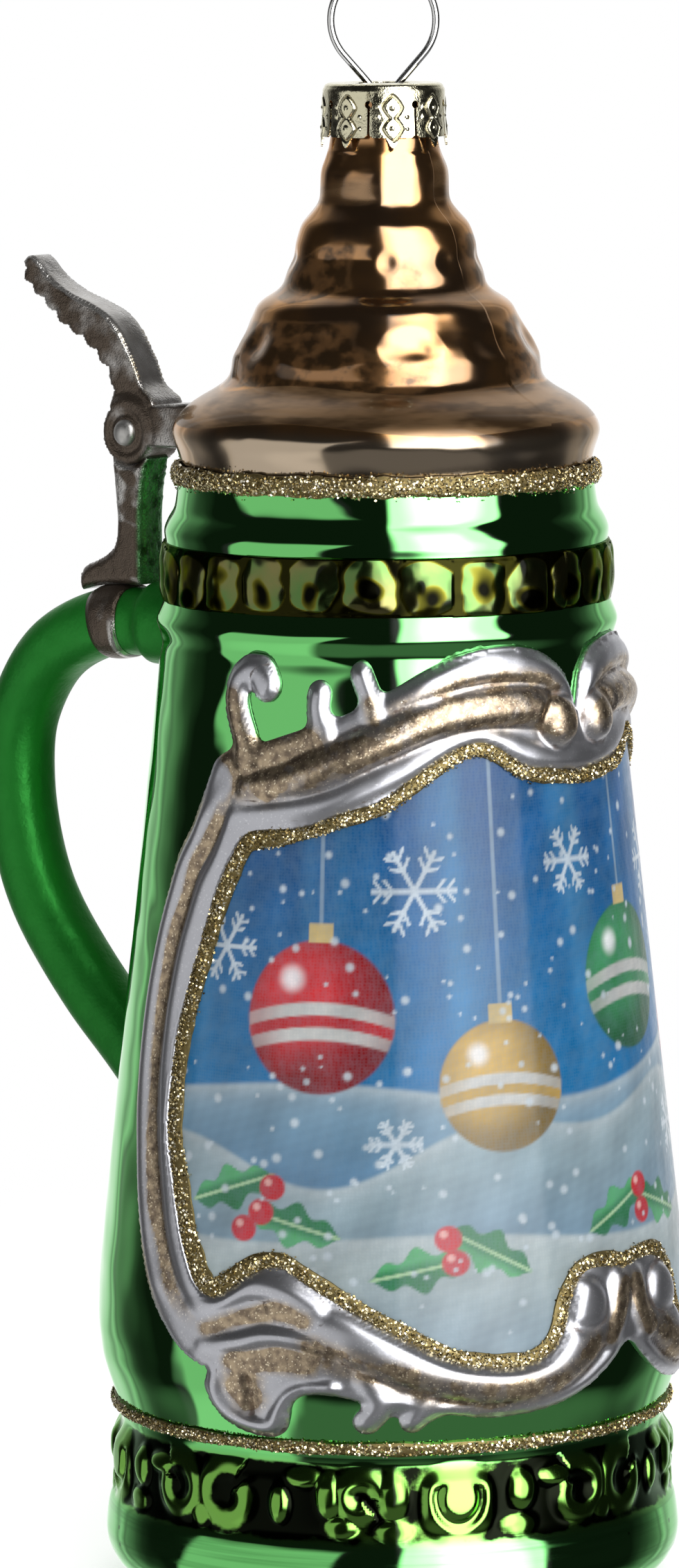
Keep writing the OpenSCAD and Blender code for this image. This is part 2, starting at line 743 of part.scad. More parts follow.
module thumb_lift() {
    tip_r = rim_r - arm_inset;
    low_z = max(knuckle.y - arm_low, seam_z + lid_glitter_w / 2 + 2 * seat_gap);
    color("slategray")
    difference() {
        union() {
            cross_pin(knuckle, knuckle_r, lift_w);
            intersection() {
                side_plate(lever_w)
                    translate(knuckle)
                        polygon([for (p = lever_line) [p.x * lever_reach, p.y * lever_h]]);
                translate([0, 2 * knuckle.x, knuckle.y])
                    rotate([90, 0, 0])
                        linear_extrude(2 * knuckle.x)
                            polygon([
                                [-lever_w / 2, 0],
                                [lever_w / 2, 0],
                                [lever_w / 2, lever_h / 2],
                                [lever_tip_w / 2, lever_h],
                                [-lever_tip_w / 2, lever_h],
                                [-lever_w / 2, lever_h / 2]
                            ]);
            }
            side_plate(lift_w)
                polygon([
                    [tip_r, rim_z + arm_tip_h],
                    for (p = arm_line) [rim_r, rim_z] + p,
                    knuckle + [0, arm_top],
                    [knuckle.x, low_z],
                    [tip_r, low_z]
                ]);
        }
        turned(lid_line, seat_gap);
        cross_pin(knuckle, knuckle_r + seat_gap, eye_w + 2 * seat_gap);
        cross_pin(knuckle, rivet_r + seat_gap, lift_w + 1);
    }
}

// The rivet with a low dome on both ends
module hinge_rivet() {
    half = lift_w / 2 + seat_gap;
    dome_h = 0.8;
    color("gainsboro")
    translate([0, knuckle.x, knuckle.y])
        rotate([0, 90, 0])
            rotate_extrude()
                polygon([
                    [0, -half - dome_h],
                    for (a = [15:15:90]) [rivet_head_r * sin(a), -half - dome_h * cos(a)],
                    [rivet_r, -half],
                    [rivet_r, half],
                    for (a = [90:-15:15]) [rivet_head_r * sin(a), half + dome_h * cos(a)],
                    [0, half + dome_h]
                ]);
}

cap_top_z = neck_top_z + cap_seat_gap + cap_t;
cap_low_z = cap_top_z - cap_h;
cap_r = neck_r + cap_gap + cap_t;
cap_hole_r = waist_half + wire_r + hole_gap;
cap_corner = 0.8;
// Height of a panel's point, and its half width at the tip
cap_point_h = 0.8;
cap_point_half = 0.1;
// The slit between two panels, up to its eyelet
cap_slit_half = 0.12;
cap_eyelet_drop = 1.9;
cap_eyelet_r = 0.35;

// Outside of the cap, grown inwards for its inside
function cap_outline(inset) = [
    for (a = [0:18:90])
        [cap_r - cap_corner + (cap_corner - inset) * sin(a), cap_top_z - cap_corner + (cap_corner - inset) * cos(a)],
    [cap_r - inset, cap_low_z + cap_h / 2],
    [cap_r + cap_flare - inset, cap_low_z]
];

// One side of the cut between two panels: beside the point, up to the slit and up the slit.
// The other side runs back down.
function cap_notch(side) =
    let (
        half = neck_r * sin(180 / cap_points) - cap_point_half,
        up = [
            [half, -seat_gap],
            [half, cap_point_h * 0.6],
            [half * 0.75, cap_point_h],
            [half * 0.35, cap_point_h],
            [cap_slit_half, cap_point_h * 1.6],
            [cap_slit_half, cap_h - cap_eyelet_drop]
        ]
    )
    [for (i = [0:len(up) - 1]) let (p = up[side < 0 ? i : len(up) - 1 - i]) [side * p.x, p.y]];

module cap() {
    outside = cap_outline(0);
    inside = cap_outline(cap_t);
    color("palegoldenrod")
    difference() {
        rotate_extrude()
            polygon([
                [cap_hole_r, cap_top_z],
                each outside,
                for (i = [len(inside) - 1:-1:0]) inside[i],
                [cap_hole_r, cap_top_z - cap_t]
            ]);
        for (i = [0:cap_points - 1])
            rotate([0, 0, cap_turn + i * 360 / cap_points])
                translate([0, -neck_r, 0])
                    rotate([90, 0, 0]) {
                        translate([0, cap_low_z])
                            linear_extrude(cap_r)
                                polygon([for (side = [-1, 1]) each cap_notch(side)]);
                        translate([0, cap_top_z - cap_eyelet_drop])
                            cylinder(r = cap_eyelet_r, h = cap_r);
                    }
    }
}

// The wire's line in its own plane, as [across, height]: up one leg, round the loop and down
loop_z = cap_top_z + loop_rise;
leave_angle = 40;
leg_half = neck_r - glass_wall - wire_r - leg_gap;
leave_x = loop_r * cos(leave_angle);
waist_z = loop_z - loop_r * sin(leave_angle) - (leave_x - waist_half) / tan(leave_angle);
loop_step = 10;
wire_line = [
    [-leg_half, cap_top_z - leg_h],
    [-waist_half, waist_z],
    for (a = [180 + leave_angle:-loop_step:-leave_angle]) [loop_r * cos(a), loop_z + loop_r * sin(a)],
    [waist_half, waist_z],
    [leg_half, cap_top_z - leg_h]
];
wire_sides = 8;

module hanger() {
    color("lightgray")
    rotate([0, 0, loop_turn])
        skin([
            for (i = [0:len(wire_line) - 1])
                let (t = along(wire_line, i))
                [
                    for (k = [0:wire_sides - 1])
                        let (n = wire_r * cos(k * 360 / wire_sides))
                        [wire_line[i].x - t.y * n, wire_r * sin(k * 360 / wire_sides), wire_line[i].y + t.x * n]
                ]
        ], false);
}

stein_body();
stein_lid();
bead_band();
scroll_frame();
picture_panel();
picture_glitter();
lid_glitter();
foot_glitter();
handle();
handle_band();
hinge_post();
thumb_lift();
hinge_rivet();
cap();
hanger();
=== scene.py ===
# %% [markdown]
# # Beer stein ornament
# A blown glass ornament in the shape of a lidded stein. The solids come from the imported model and
# give every piece its place and size. This file dresses them: each piece gets a finer skin and a
# finish of its own. Work runs in millimetres and is scaled to metres where a mesh is made.

# %% Load the solids
import math

import bpy
import numpy as np
from mathutils import Matrix, Vector


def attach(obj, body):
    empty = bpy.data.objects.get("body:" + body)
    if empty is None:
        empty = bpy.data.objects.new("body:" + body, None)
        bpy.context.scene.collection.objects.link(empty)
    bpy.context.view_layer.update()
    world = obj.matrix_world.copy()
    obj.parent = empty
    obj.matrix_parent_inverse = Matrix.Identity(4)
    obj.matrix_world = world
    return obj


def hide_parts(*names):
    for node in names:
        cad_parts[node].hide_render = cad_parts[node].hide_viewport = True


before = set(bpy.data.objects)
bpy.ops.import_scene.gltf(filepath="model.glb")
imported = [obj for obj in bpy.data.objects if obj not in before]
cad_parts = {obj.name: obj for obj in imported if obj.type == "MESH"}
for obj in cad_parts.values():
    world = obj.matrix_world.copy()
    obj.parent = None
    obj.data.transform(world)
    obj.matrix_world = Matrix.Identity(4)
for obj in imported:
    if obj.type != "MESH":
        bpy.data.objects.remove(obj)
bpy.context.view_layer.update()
MM = 0.001
print("solids:", ", ".join(sorted(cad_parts)))

# %% [markdown]
# ## Camera
# The picture was taken with a long lens from the stein's left front, a little above its middle. The
# solids were laid over the photograph to find the distance, the tilt and the small lean of the
# camera. A camera can be aimed with a constraint, but a matrix from its three axes keeps all
# of these angles in one place.

# %% Camera
CAMERA_AZIMUTH = math.radians(-51.5)
CAMERA_DISTANCE = 0.717
CAMERA_HEIGHT = 0.16309
CAMERA_TILT = math.radians(6.96)
CAMERA_YAW = math.radians(0.363)
CAMERA_ROLL = math.radians(0.353)
LENS_MM, SENSOR_MM = 175.86, 36

ahead = Vector((-math.sin(CAMERA_AZIMUTH), math.cos(CAMERA_AZIMUTH), 0))
across = Vector((math.cos(CAMERA_AZIMUTH), math.sin(CAMERA_AZIMUTH), 0))


def camera_axes():
    upright = Vector((0, 0, 1))
    look = ahead * math.cos(CAMERA_TILT) - upright * math.sin(CAMERA_TILT)
    up = ahead * math.sin(CAMERA_TILT) + upright * math.cos(CAMERA_TILT)
    look, right = (
        look * math.cos(CAMERA_YAW) - across * math.sin(CAMERA_YAW),
        across * math.cos(CAMERA_YAW) + look * math.sin(CAMERA_YAW),
    )
    lean, rise = math.sin(CAMERA_ROLL), math.cos(CAMERA_ROLL)
    return right * rise - up * lean, up * rise + right * lean, look


right_axis, up_axis, look_axis = camera_axes()
camera_data = bpy.data.cameras.new("camera")
camera_data.lens = LENS_MM
camera_data.sensor_width = SENSOR_MM
camera = bpy.data.objects.new("camera", camera_data)
spot = -ahead * CAMERA_DISTANCE + Vector((0, 0, CAMERA_HEIGHT))
camera.matrix_world = Matrix.LocRotScale(
    spot, Matrix((right_axis, up_axis, -look_axis)).transposed(), None
)
bpy.context.scene.collection.objects.link(camera)
bpy.context.scene.camera = camera
bpy.context.scene.view_settings.view_transform = "Standard"
print("camera at", [round(v, 3) for v in spot])

# %% [markdown]
# ## Helpers for shader nodes
# Every finish below is a net of nodes. Small helpers keep the cells short: `put` sets a node down with
# its inputs, and the others wrap the nodes that come back most often. A socket knows its own net,
# so those helpers find it from what they are given.


# %% Node helpers
def is_socket(value):
    return isinstance(value, bpy.types.NodeSocket)


def plug(node, inputs):
    """Fills a node's inputs; each takes a number, a colour or another node's socket."""
    for key, value in inputs.items():
        if is_socket(value):
            node.id_data.links.new(value, node.inputs[key])
        else:
            node.inputs[key].default_value = value


def put(tree, kind, inputs=None, **settings):
    """A new node with its settings and inputs."""
    made = tree.nodes.new(kind)
    for key, value in settings.items():
        setattr(made, key, value)
    plug(made, inputs or {})
    return made


def tree_of(*values):
    return next(value.id_data for value in values if is_socket(value))


def sums(operation, first, second=0.0):
    inputs = {0: first, 1: second}
    return put(tree_of(first, second), "ShaderNodeMath", inputs, operation=operation).outputs[0]


def times(first, second):
    return sums("MULTIPLY", first, second)


def plus(first, second):
    return sums("ADD", first, second)


def minus(first, second):
    return sums("SUBTRACT", first, second)


def piled(level, *parts):
    """A level with shares of other values added on top."""
    for value, share in parts:
        level = plus(level, times(value, share))
    return level


def spread(value, low, high, to_low=0.0, to_high=1.0, step="SMOOTHSTEP"):
    """Maps a value from one span to another, held at its ends."""
    inputs = {"Value": value, "From Min": low, "From Max": high, "To Min": to_low, "To Max": to_high}
    return put(tree_of(value), "ShaderNodeMapRange", inputs, interpolation_type=step).outputs["Result"]


def mix(share, first, second):
    colours = [value if is_socket(value) else (*value, 1) for value in (first, second)]
    inputs = {0: share, 6: colours[0], 7: colours[1]}
    return put(tree_of(share), "ShaderNodeMix", inputs, data_type="RGBA").outputs[2]


def vectors(operation, first, second, output=0):
    inputs = {0: first, 1: second}
    return put(tree_of(first), "ShaderNodeVectorMath", inputs, operation=operation).outputs[output]


def place_in(tree):
    return put(tree, "ShaderNodeTexCoord").outputs["Object"]


def noise(place, scale, detail=2.0):
    inputs = {"Vector": place, "Scale": scale, "Detail": detail}
    return put(tree_of(place), "ShaderNodeTexNoise", inputs).outputs["Fac"]


def cells(place, scale, randomness=1.0, output="Distance"):
    inputs = {"Vector": place, "Scale": scale, "Randomness": randomness}
    return put(tree_of(place), "ShaderNodeTexVoronoi", inputs).outputs[output]


# %% [markdown]
# ## Studio
# Silvered glass is a mirror, so most of what one sees on it is the room. The reflections in the photo
# show a large soft box right of the camera, a weaker, leaning panel on the left, a dark room between
# them and a white backdrop behind. Area lamps could stand there, but a world shader that
# paints the panels by direction gives the same mirror image without noise. Mirror rays see the panels at
# full strength; soft light on paint comes from the same panels at plain levels. The camera sees white.

# %% World
world = bpy.data.worlds.new("studio")
bpy.context.scene.world = world
world.use_nodes = True
sky = world.node_tree
sky.nodes.clear()
toward = put(sky, "ShaderNodeTexCoord").outputs["Generated"]


def along_axis(axis):
    return vectors("DOT_PRODUCT", toward, axis, "Value")


round_angle = sums("ARCTAN2", along_axis(across), along_axis(-ahead))
rise_angle = sums("ARCSINE", along_axis((0, 0, 1)))
behind_angle = sums("ABSOLUTE", round_angle)


def within(angle, low, high, soft):
    low, high, soft = math.radians(low), math.radians(high), math.radians(soft)
    start = spread(angle, low - soft, low + soft)
    return times(start, spread(angle, high - soft, high + soft, 1, 0))


def panel(left, right, low, high, soft=2.5, lean=0.0):
    turned = minus(round_angle, times(rise_angle, lean))
    return times(within(turned, left, right, soft), within(rise_angle, low, high, 6))


# Each panel: from left to right and from low to high, in degrees as seen from the stein
soft_box = panel(3, 64, -19, 58)
soft_core = panel(14, 50, -22, 48, 7)
side_panel = panel(-89, -25, -48, 15, lean=0.45)
# Brightness of the backdrop by degrees round from the camera
BACKDROP_FADE = [
    (109, 0.0), (117, 0.03), (124, 0.1), (130, 0.24), (134, 0.34), (137, 0.26),
    (142, 0.82), (146, 0.45), (152, 0.85), (168, 1.05), (176, 1.1),
]
fade = put(sky, "ShaderNodeValToRGB", {0: sums("DIVIDE", behind_angle, math.pi)})
while len(fade.color_ramp.elements) < len(BACKDROP_FADE):
    fade.color_ramp.elements.new(0.5)
for stop, (degrees, level) in zip(fade.color_ramp.elements, BACKDROP_FADE):
    stop.position = degrees / 180
    stop.color = (level, level, level, 1)
overhead = spread(rise_angle, math.radians(48), math.radians(74), 1, 0)
backdrop = times(fade.outputs[0], overhead)
table = spread(rise_angle, math.radians(-38), math.radians(-26), 1, 0)


def room(box_level, core_level, panel_level, table_level, dark_level):
    levels = (soft_box, box_level), (soft_core, core_level), (side_panel, panel_level), (table, table_level)
    return plus(piled(dark_level, *levels), backdrop)


rays = put(sky, "ShaderNodeLightPath")
mirror_room = room(4.0, 3.0, 0.84, 0.2, 0.016)
paint_room = room(1.7, 0.0, 0.8, 0.0, 0.3)
light = mix(rays.outputs["Is Glossy Ray"], paint_room, mirror_room)
light = mix(rays.outputs["Is Camera Ray"], light, (1, 1, 1))
ground = put(sky, "ShaderNodeBackground", {"Color": light, "Strength": 1.0})
put(sky, "ShaderNodeOutputWorld", {"Surface": ground.outputs[0]})
print("studio: soft box on the right, side panel on the left, backdrop behind")

# %% [markdown]
# ## Floor
# A pale disc catches the stein's shadow. It fades out before its edge, so that no horizon shows, and the
# mirror rays pass it: the photo's glass shows the panels reaching below the foot as well.

# %% Floor
FLOOR_R, FLOOR_SIDES = 0.5, 96
FADE_FROM, FADE_TO = 0.05, 0.22
floor_mesh = bpy.data.meshes.new("floor")
floor_turns = np.linspace(0, math.tau, FLOOR_SIDES, False)
floor_ring = [(FLOOR_R * math.cos(a), FLOOR_R * math.sin(a), 0) for a in floor_turns]
floor_mesh.from_pydata(floor_ring, [], [list(range(FLOOR_SIDES))])
floor = bpy.data.objects.new("floor", floor_mesh)
floor.location.z = -0.00005
floor.visible_glossy = False
bpy.context.scene.collection.objects.link(floor)
floor_finish = bpy.data.materials.new("pale floor")
floor_finish.use_nodes = True
net = floor_finish.node_tree
net.nodes.clear()
place = place_in(net)
far = put(net, "ShaderNodeVectorMath", {0: place}, operation="LENGTH").outputs["Value"]
fade = spread(far, FADE_FROM, FADE_TO)
pale = put(net, "ShaderNodeBsdfDiffuse", {"Color": (0.86, 0.86, 0.86, 1)})
lift = times(put(net, "ShaderNodeLightPath").outputs["Is Camera Ray"], 0.62)
glow = put(net, "ShaderNodeEmission", {"Color": (1, 1, 1, 1), "Strength": lift})
pale = put(net, "ShaderNodeAddShader", {0: pale.outputs[0], 1: glow.outputs[0]})
clear = put(net, "ShaderNodeBsdfTransparent")
faded = put(net, "ShaderNodeMixShader", {0: fade, 1: pale.outputs[0], 2: clear.outputs[0]})
put(net, "ShaderNodeOutputMaterial", {"Surface": faded.outputs[0]})
floor_mesh.materials.append(floor_finish)
print("floor radius", FLOOR_R, "m")

# %% [markdown]
# ## Helpers for skins
# Most pieces are skins over a grid of points: rows along a line, columns round it. Angles on the glass
# run from the middle of the picture, which faces -Y, towards +X.


# %% Mesh helpers
def on_round(radius, angle, height):
    """Points round the axis; the angle is in degrees from the picture's middle."""
    turn = np.radians(angle)
    return np.stack(np.broadcast_arrays(radius * np.sin(turn), -radius * np.cos(turn), height), -1)


def sheet(first, second):
    """A grid over two lists of places; the first runs over its rows."""
    return np.meshgrid(first, second, indexing="ij")


def round_columns(count):
    return np.arange(count) * 360 / count


def unit(arrows):
    return arrows / np.linalg.norm(arrows, axis=-1, keepdims=True)


def grid_quads(rows, columns, ring=False):
    """Faces between rows of points, each row closed; a ring also joins its last row to its first."""
    i, j = sheet(np.arange(rows if ring else rows - 1), np.arange(columns))
    k = (j + 1) % columns
    a, b = i * columns, (i + 1) % rows * columns
    return np.stack([a + j, a + k, b + k, b + j], -1).reshape(-1, 4).tolist()


def closed_tube(points, columns):
    """A tube of rings of points, with a point in the middle of its first and last ring."""
    rows = len(points) // columns
    faces = grid_quads(rows, columns)
    ends = [points[:columns].mean(0), points[-columns:].mean(0)]
    low, high = len(points), len(points) + 1
    last = (rows - 1) * columns
    for j in range(columns):
        k = (j + 1) % columns
        faces.append([k, j, low])
        faces.append([last + j, last + k, high])
    return np.vstack([points, ends]), faces


def closed_line(line):
    return np.vstack([line, line[:1]])


def run_along(line):
    """How far along a line each of its points lies."""
    return np.concatenate([[0], np.cumsum(np.hypot(*np.diff(line, axis=0).T))])


def at_run(wanted, run, line):
    """The places that lie some way along a line."""
    return np.stack([np.interp(wanted, run, line[:, k]) for k in (0, 1)], -1)


def curve_through(points, steps=8):
    """A smooth curve through points, with a few steps between each pair."""
    p = np.asarray(points, float)
    p = np.vstack([p[:1], p, p[-1:]])
    t = (np.arange(steps) / steps)[:, None]
    curve = []
    for a, b, c, d in zip(p[:-3], p[1:-2], p[2:-1], p[3:]):
        bend = (2 * a - 5 * b + 4 * c - d) * t**2 + (3 * b - a - 3 * c + d) * t**3
        curve.append(b + ((c - a) * t + bend) / 2)
    return np.vstack(curve + [p[-1:]])


def bump(value):
    """A soft hump: 1 at 0, down to 0 at -1 and 1."""
    return np.where(np.abs(value) < 1, 0.5 + 0.5 * np.cos(np.pi * np.clip(value, -1, 1)), 0.0)


def ease(value, low, high):
    t = np.clip((value - low) / (high - low), 0, 1)
    return t * t * (3 - 2 * t)


def ripple(seed, *places, waves=6):
    """A seeded sum of sine waves over some coordinates, about -1 to 1."""
    draw = np.random.default_rng(seed)
    total = 0.0
    for _ in range(waves):
        phase = draw.uniform(0, math.tau)
        for place in places:
            phase = phase + place * draw.normal()
        total = total + np.sin(phase)
    return total / math.sqrt(waves)


def mark(piece, name, values):
    """Keeps one number for each point of a piece, for its finish to read."""
    layer = piece.data.attributes.new(name, "FLOAT", "POINT")
    layer.data.foreach_set("value", np.asarray(values, np.float32).ravel())


def add_piece(name, points, faces, body, slot, stands_for, finish, crease=None, **marks):
    """Makes a mesh from points in millimetres and gives it its body, finish and marks; the slot is not used.
    """
    mesh = bpy.data.meshes.new(name)
    mesh.from_pydata((np.asarray(points) * MM).tolist(), [], faces)
    mesh.materials.append(finish)
    mesh.shade_smooth()
    if crease:
        mesh.set_sharp_from_angle(angle=math.radians(crease))
    piece = bpy.data.objects.new(name, mesh)
    bpy.context.scene.collection.objects.link(piece)
    for key, values in marks.items():
        mark(piece, key, values)
    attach(piece, body)
    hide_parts(*stands_for)
    print(name, len(mesh.vertices), "points", len(mesh.polygons), "faces")
    return piece


# %% [markdown]
# ## Effects that several finishes share
# Blown glass is never quite even, so mirrored edges wobble: `glass waver` gives a low bump for that.
# `brushed wash` is the dark brown wash that the painter wipes over relief: it stays in the recesses
# and leaves streaks. `flake sparkle` tilts tiny cells of the surface, as metal flakes in paint
# do. Each is a node group, so that one change reaches every finish that uses it.


# %% Shared effects
def new_group(name, inputs, outputs):
    group = bpy.data.node_groups.new(name, "ShaderNodeTree")
    for socket, value in inputs.items():
        made = group.interface.new_socket(socket, in_out="INPUT", socket_type="NodeSocketFloat")
        made.default_value = value
    for socket, kind in outputs.items():
        group.interface.new_socket(socket, in_out="OUTPUT", socket_type=kind)
    return group, put(group, "NodeGroupInput").outputs


waver, given = new_group("glass waver", {"Scale": 120.0, "Fine": 0.15}, {"Height": "NodeSocketFloat"})
place = place_in(waver)
wide = noise(place, given["Scale"], 1.0)
fine = noise(place, times(given["Scale"], 7.0), 1.0)
put(waver, "NodeGroupOutput", {"Height": piled(wide, (fine, given["Fine"]))})

wash, given = new_group(
    "brushed wash",
    {"Scale": 300.0, "Stretch": 0.25, "Recess": 0.0, "Cover": 0.4},
    {"Mask": "NodeSocketFloat", "Streak": "NodeSocketFloat"},
)
place = place_in(wash)
flat = put(wash, "ShaderNodeCombineXYZ", {0: given["Stretch"], 1: given["Stretch"], 2: 1.0}).outputs[0]
place = vectors("MULTIPLY", place, flat)
grain = noise(place, given["Scale"], 6.0)
level = plus(given["Recess"], given["Cover"])
level = plus(level, minus(grain, 0.5))
streak = noise(place, times(given["Scale"], 3.0), 3.0)
put(wash, "NodeGroupOutput", {"Mask": spread(level, 0.42, 0.68), "Streak": streak})

sparkle, given = new_group(
    "flake sparkle",
    {"Scale": 6000.0, "Tilt": 0.25, "Share": 0.3},
    {"Glint": "NodeSocketFloat", "Normal": "NodeSocketVector"},
)
place = place_in(sparkle)
hue = cells(place, given["Scale"], output="Color")
tilt = vectors("SUBTRACT", hue, (0.5, 0.5, 0.5))
tilt = put(sparkle, "ShaderNodeVectorMath", {0: tilt, "Scale": given["Tilt"]}, operation="SCALE").outputs[0]
facing = vectors("ADD", put(sparkle, "ShaderNodeNewGeometry").outputs["Normal"], tilt)
facing = put(sparkle, "ShaderNodeVectorMath", {0: facing}, operation="NORMALIZE").outputs[0]
chance = put(sparkle, "ShaderNodeSeparateColor", {0: hue}).outputs[0]
glint = spread(chance, minus(1.0, given["Share"]), 1.0)
put(sparkle, "NodeGroupOutput", {"Glint": glint, "Normal": facing})


def new_finish(name):
    """A material with a Principled shader; returns it, its tree and the shader."""
    finish = bpy.data.materials.new(name)
    finish.use_nodes = True
    tree = finish.node_tree
    return finish, tree, tree.nodes["Principled BSDF"]


def effect(tree, group, **inputs):
    return put(tree, "ShaderNodeGroup", inputs, node_tree=group).outputs


def marked(tree, name):
    return put(tree, "ShaderNodeAttribute", attribute_name=name).outputs["Fac"]


def feed(shader, **inputs):
    """Sets or links the shader's sockets; an underscore stands for a space."""
    plug(shader, {key.replace("_", " "): value for key, value in inputs.items()})


def raised(height, strength, distance):
    inputs = {"Height": height, "Strength": strength, "Distance": distance}
    return put(tree_of(height), "ShaderNodeBump", inputs).outputs["Normal"]


def uneven(tree, scale, fine, strength, distance):
    """The bump of glass, paint or sheet that is not quite even."""
    return raised(effect(tree, waver, Scale=scale, Fine=fine)["Height"], strength, distance)


print("shared effects:", ", ".join(group.name for group in bpy.data.node_groups))

# %% [markdown]
# ## Green glass body
# The bubble is blown into a mould, silvered inside and dipped in clear green lacquer. It is a turned
# shape, so a profile of heights and radii, spun round the axis, makes it. A screw modifier could
# spin it too; spinning the points here lets the foot's moulded relief push single points in or out.

# %% Profile of the body
BODY_LINE = np.array([
    (5, 27.3), (7, 27.06), (8.4, 26.73), (9, 26.4), (13.7, 26.4), (14.4, 26.08), (15.8, 25.75),
    (17.1, 26.08), (17.8, 26.28), (19.1, 26.7), (20.5, 27.15), (21.8, 27.5), (24.5, 27.8), (26, 27.78),
    (28.5, 27.7), (31.2, 27.5), (33, 27.3), (88, 21.4), (89.4, 21.12), (91.4, 21.78), (93.4, 20.9),
    (95, 20.75), (98.6, 20.75), (99.9, 20.95), (101.2, 20.37), (101.8, 19.9), (103.8, 19.6), (106.4, 19.6),
])


def softened(line, soft, step=0.05):
    """A radius for every small step of height, with its corners rounded."""
    heights = np.arange(line[0, 0] - 3, line[-1, 0] + 3, step)
    radii = np.interp(heights, line[:, 0], line[:, 1])
    reach = np.arange(-60, 61) * step
    weight = np.exp(-((reach / soft) ** 2) / 2)
    padded = np.pad(radii, 60, mode="edge")
    return heights, np.convolve(padded, weight / weight.sum(), "valid")


body_heights, body_radii = softened(BODY_LINE, 0.35)


def wall_radius(height):
    return np.interp(height, body_heights, body_radii)


print("belly", round(float(body_radii.max()), 2), "mm, wall top", round(float(wall_radius(88.0)), 2), "mm")

# %% [markdown]
# ### Relief of the foot
# A band above the foot carries moulded scrolls, drops and small shields. They repeat four times round
# the foot. Each is a simple height: a soft boss, or a ridge along a curl. The brown wash
# gathers wherever the relief is low, and a painted shade, repeating with the relief, adds to it on
# either side of the bearing that faces the camera.


# %% Relief of the foot
def boss(across_mm, up_mm, half_w, half_h, power=2.0):
    """A rounded boss: 1 in its middle, 0 at its edge."""
    share = (np.abs(across_mm) / half_w) ** power + (np.abs(up_mm) / half_h) ** power
    return ease(share, 1, 0)


def curl(across_mm, up_mm, radius, width, start, turn):
    """A ridge along an open ring that winds inwards."""
    angle = np.degrees(np.arctan2(up_mm, across_mm))
    past = np.mod((angle - start) * np.sign(turn), 360)
    ring = radius * (1 - 0.45 * past / 360)
    inside = past < abs(turn)
    return np.where(inside, bump((np.hypot(across_mm, up_mm) - ring) / width), 0)


FOOT_REPEAT = 90
FOOT_SHIELD_AT = -38
# Bearing where the painted shade on the foot is least: the one that faces the camera
FOOT_SHADED_AT = -51
FOOT_MIDDLE = 11.9
FOOT_R = 26.4
# Bosses: degrees from the shield, rise, half width, half height and share of the height
FOOT_BOSSES = [
    (13.5, 0.9, 1.8, 2.4, 1.0), (12.5, -2.3, 2.4, 1.4, 0.8), (-13.5, 0.9, 1.8, 2.7, 1.0),
    (-13, -2.5, 2.2, 1.3, 0.8), (-26.5, 0.7, 1.5, 2.6, 1.0), (-24, -2.1, 1.9, 1.3, 0.8),
    (-37, -0.2, 1.3, 2.3, 1.0), (-32, 2.4, 2.2, 1.2, 0.7), (21.5, 1.9, 2.5, 1.2, 0.9),
    (34, -1.9, 1.7, 1.6, 0.8),
]
# Curls: degrees from the shield, rise, radius, half width, start and sweep
FOOT_CURLS = [
    (-49 + FOOT_REPEAT, 0.1, 3.0, 2.0, 60, 335), (-49, 0.1, 3.0, 2.0, 60, 335),
    (27.5, 0.1, 2.8, 1.9, 120, -335), (-20, 0.6, 2.1, 1.6, 0, 310),
]


def foot_relief(angle, height):
    """Height of the relief in millimetres and the share of wash and painted shade, at points of the foot."""
    mm = math.radians(1) * FOOT_R
    turn = np.mod(angle - FOOT_SHIELD_AT + FOOT_REPEAT / 2, FOOT_REPEAT) - FOOT_REPEAT / 2
    up = height - FOOT_MIDDLE

    def at(degrees, rise=0.0):
        return (turn - degrees) * mm, up - rise

    x, y = at(0, 0.6)
    cup = bump((np.hypot(x, y * 0.85) - 2.1) / 0.75) * ease(y, 1.6, 0.6)
    total = 1.1 * boss(*at(0), 3.9, 4.1, 2.6) - 0.75 * cup
    for degrees, rise, half_w, half_h, tall in FOOT_BOSSES:
        total = np.maximum(total, tall * boss(*at(degrees, rise), half_w, half_h))
    for degrees, rise, radius, width, start, sweep in FOOT_CURLS:
        total = np.maximum(total, 0.85 * curl(*at(degrees, rise), radius, width, start, sweep))
    band = bump(up / 5.4) ** 0.4 * ease(height, 7.7, 8.7) * (1 - ease(height, 15.3, 16))
    tall = band * (0.66 * total - 0.24)
    # Painted shade: the wash grows on either side of the bearing that faces the camera, once per repeat
    painted_shade = 0.5 - 0.5 * np.cos(np.radians(360 / FOOT_REPEAT * (angle - FOOT_SHADED_AT)))
    low = band * np.clip((0.7 + 0.3 * painted_shade) * (1.0 - 1.5 * total) + 0.34 * painted_shade, 0, 1)
    return tall, low


# %% [markdown]
# The body's rows lie close together where the profile bends and far apart on the straight wall. The skin
# turns in at the seam under the lid and runs back down inside, so that the bubble has a real wall.

# %% Skin of the body
GLASS_WALL = 1.0
BODY_COLUMNS = 720
base_turn = np.radians(np.arange(0, 90, 10))
base_line = np.array([(0.55, 1.0), (0.5, 9.0), (0.25, 16.0), (0.0, 20.5)])
base_round = np.stack([5 * (1 - np.cos(base_turn)), 22.3 + 5 * np.sin(base_turn)], -1)
side_heights = np.concatenate([
    np.arange(5, 8, 0.4), np.arange(8, 16.2, 0.22), np.arange(16.2, 34, 0.5), np.arange(34, 87, 4),
    np.arange(87, 105.01, 0.15),
])
side_line = np.stack([side_heights, wall_radius(side_heights)], -1)
inner_heights = np.array([105, 100, 88, 60, 33, 25, 15, 6, 2.5, 1.6])
inner_line = np.stack([inner_heights, wall_radius(inner_heights) - GLASS_WALL - (inner_heights < 5) * 4], -1)
body_line = np.vstack([base_line, base_round, side_line, inner_line, [(1.5, 1.0)]])
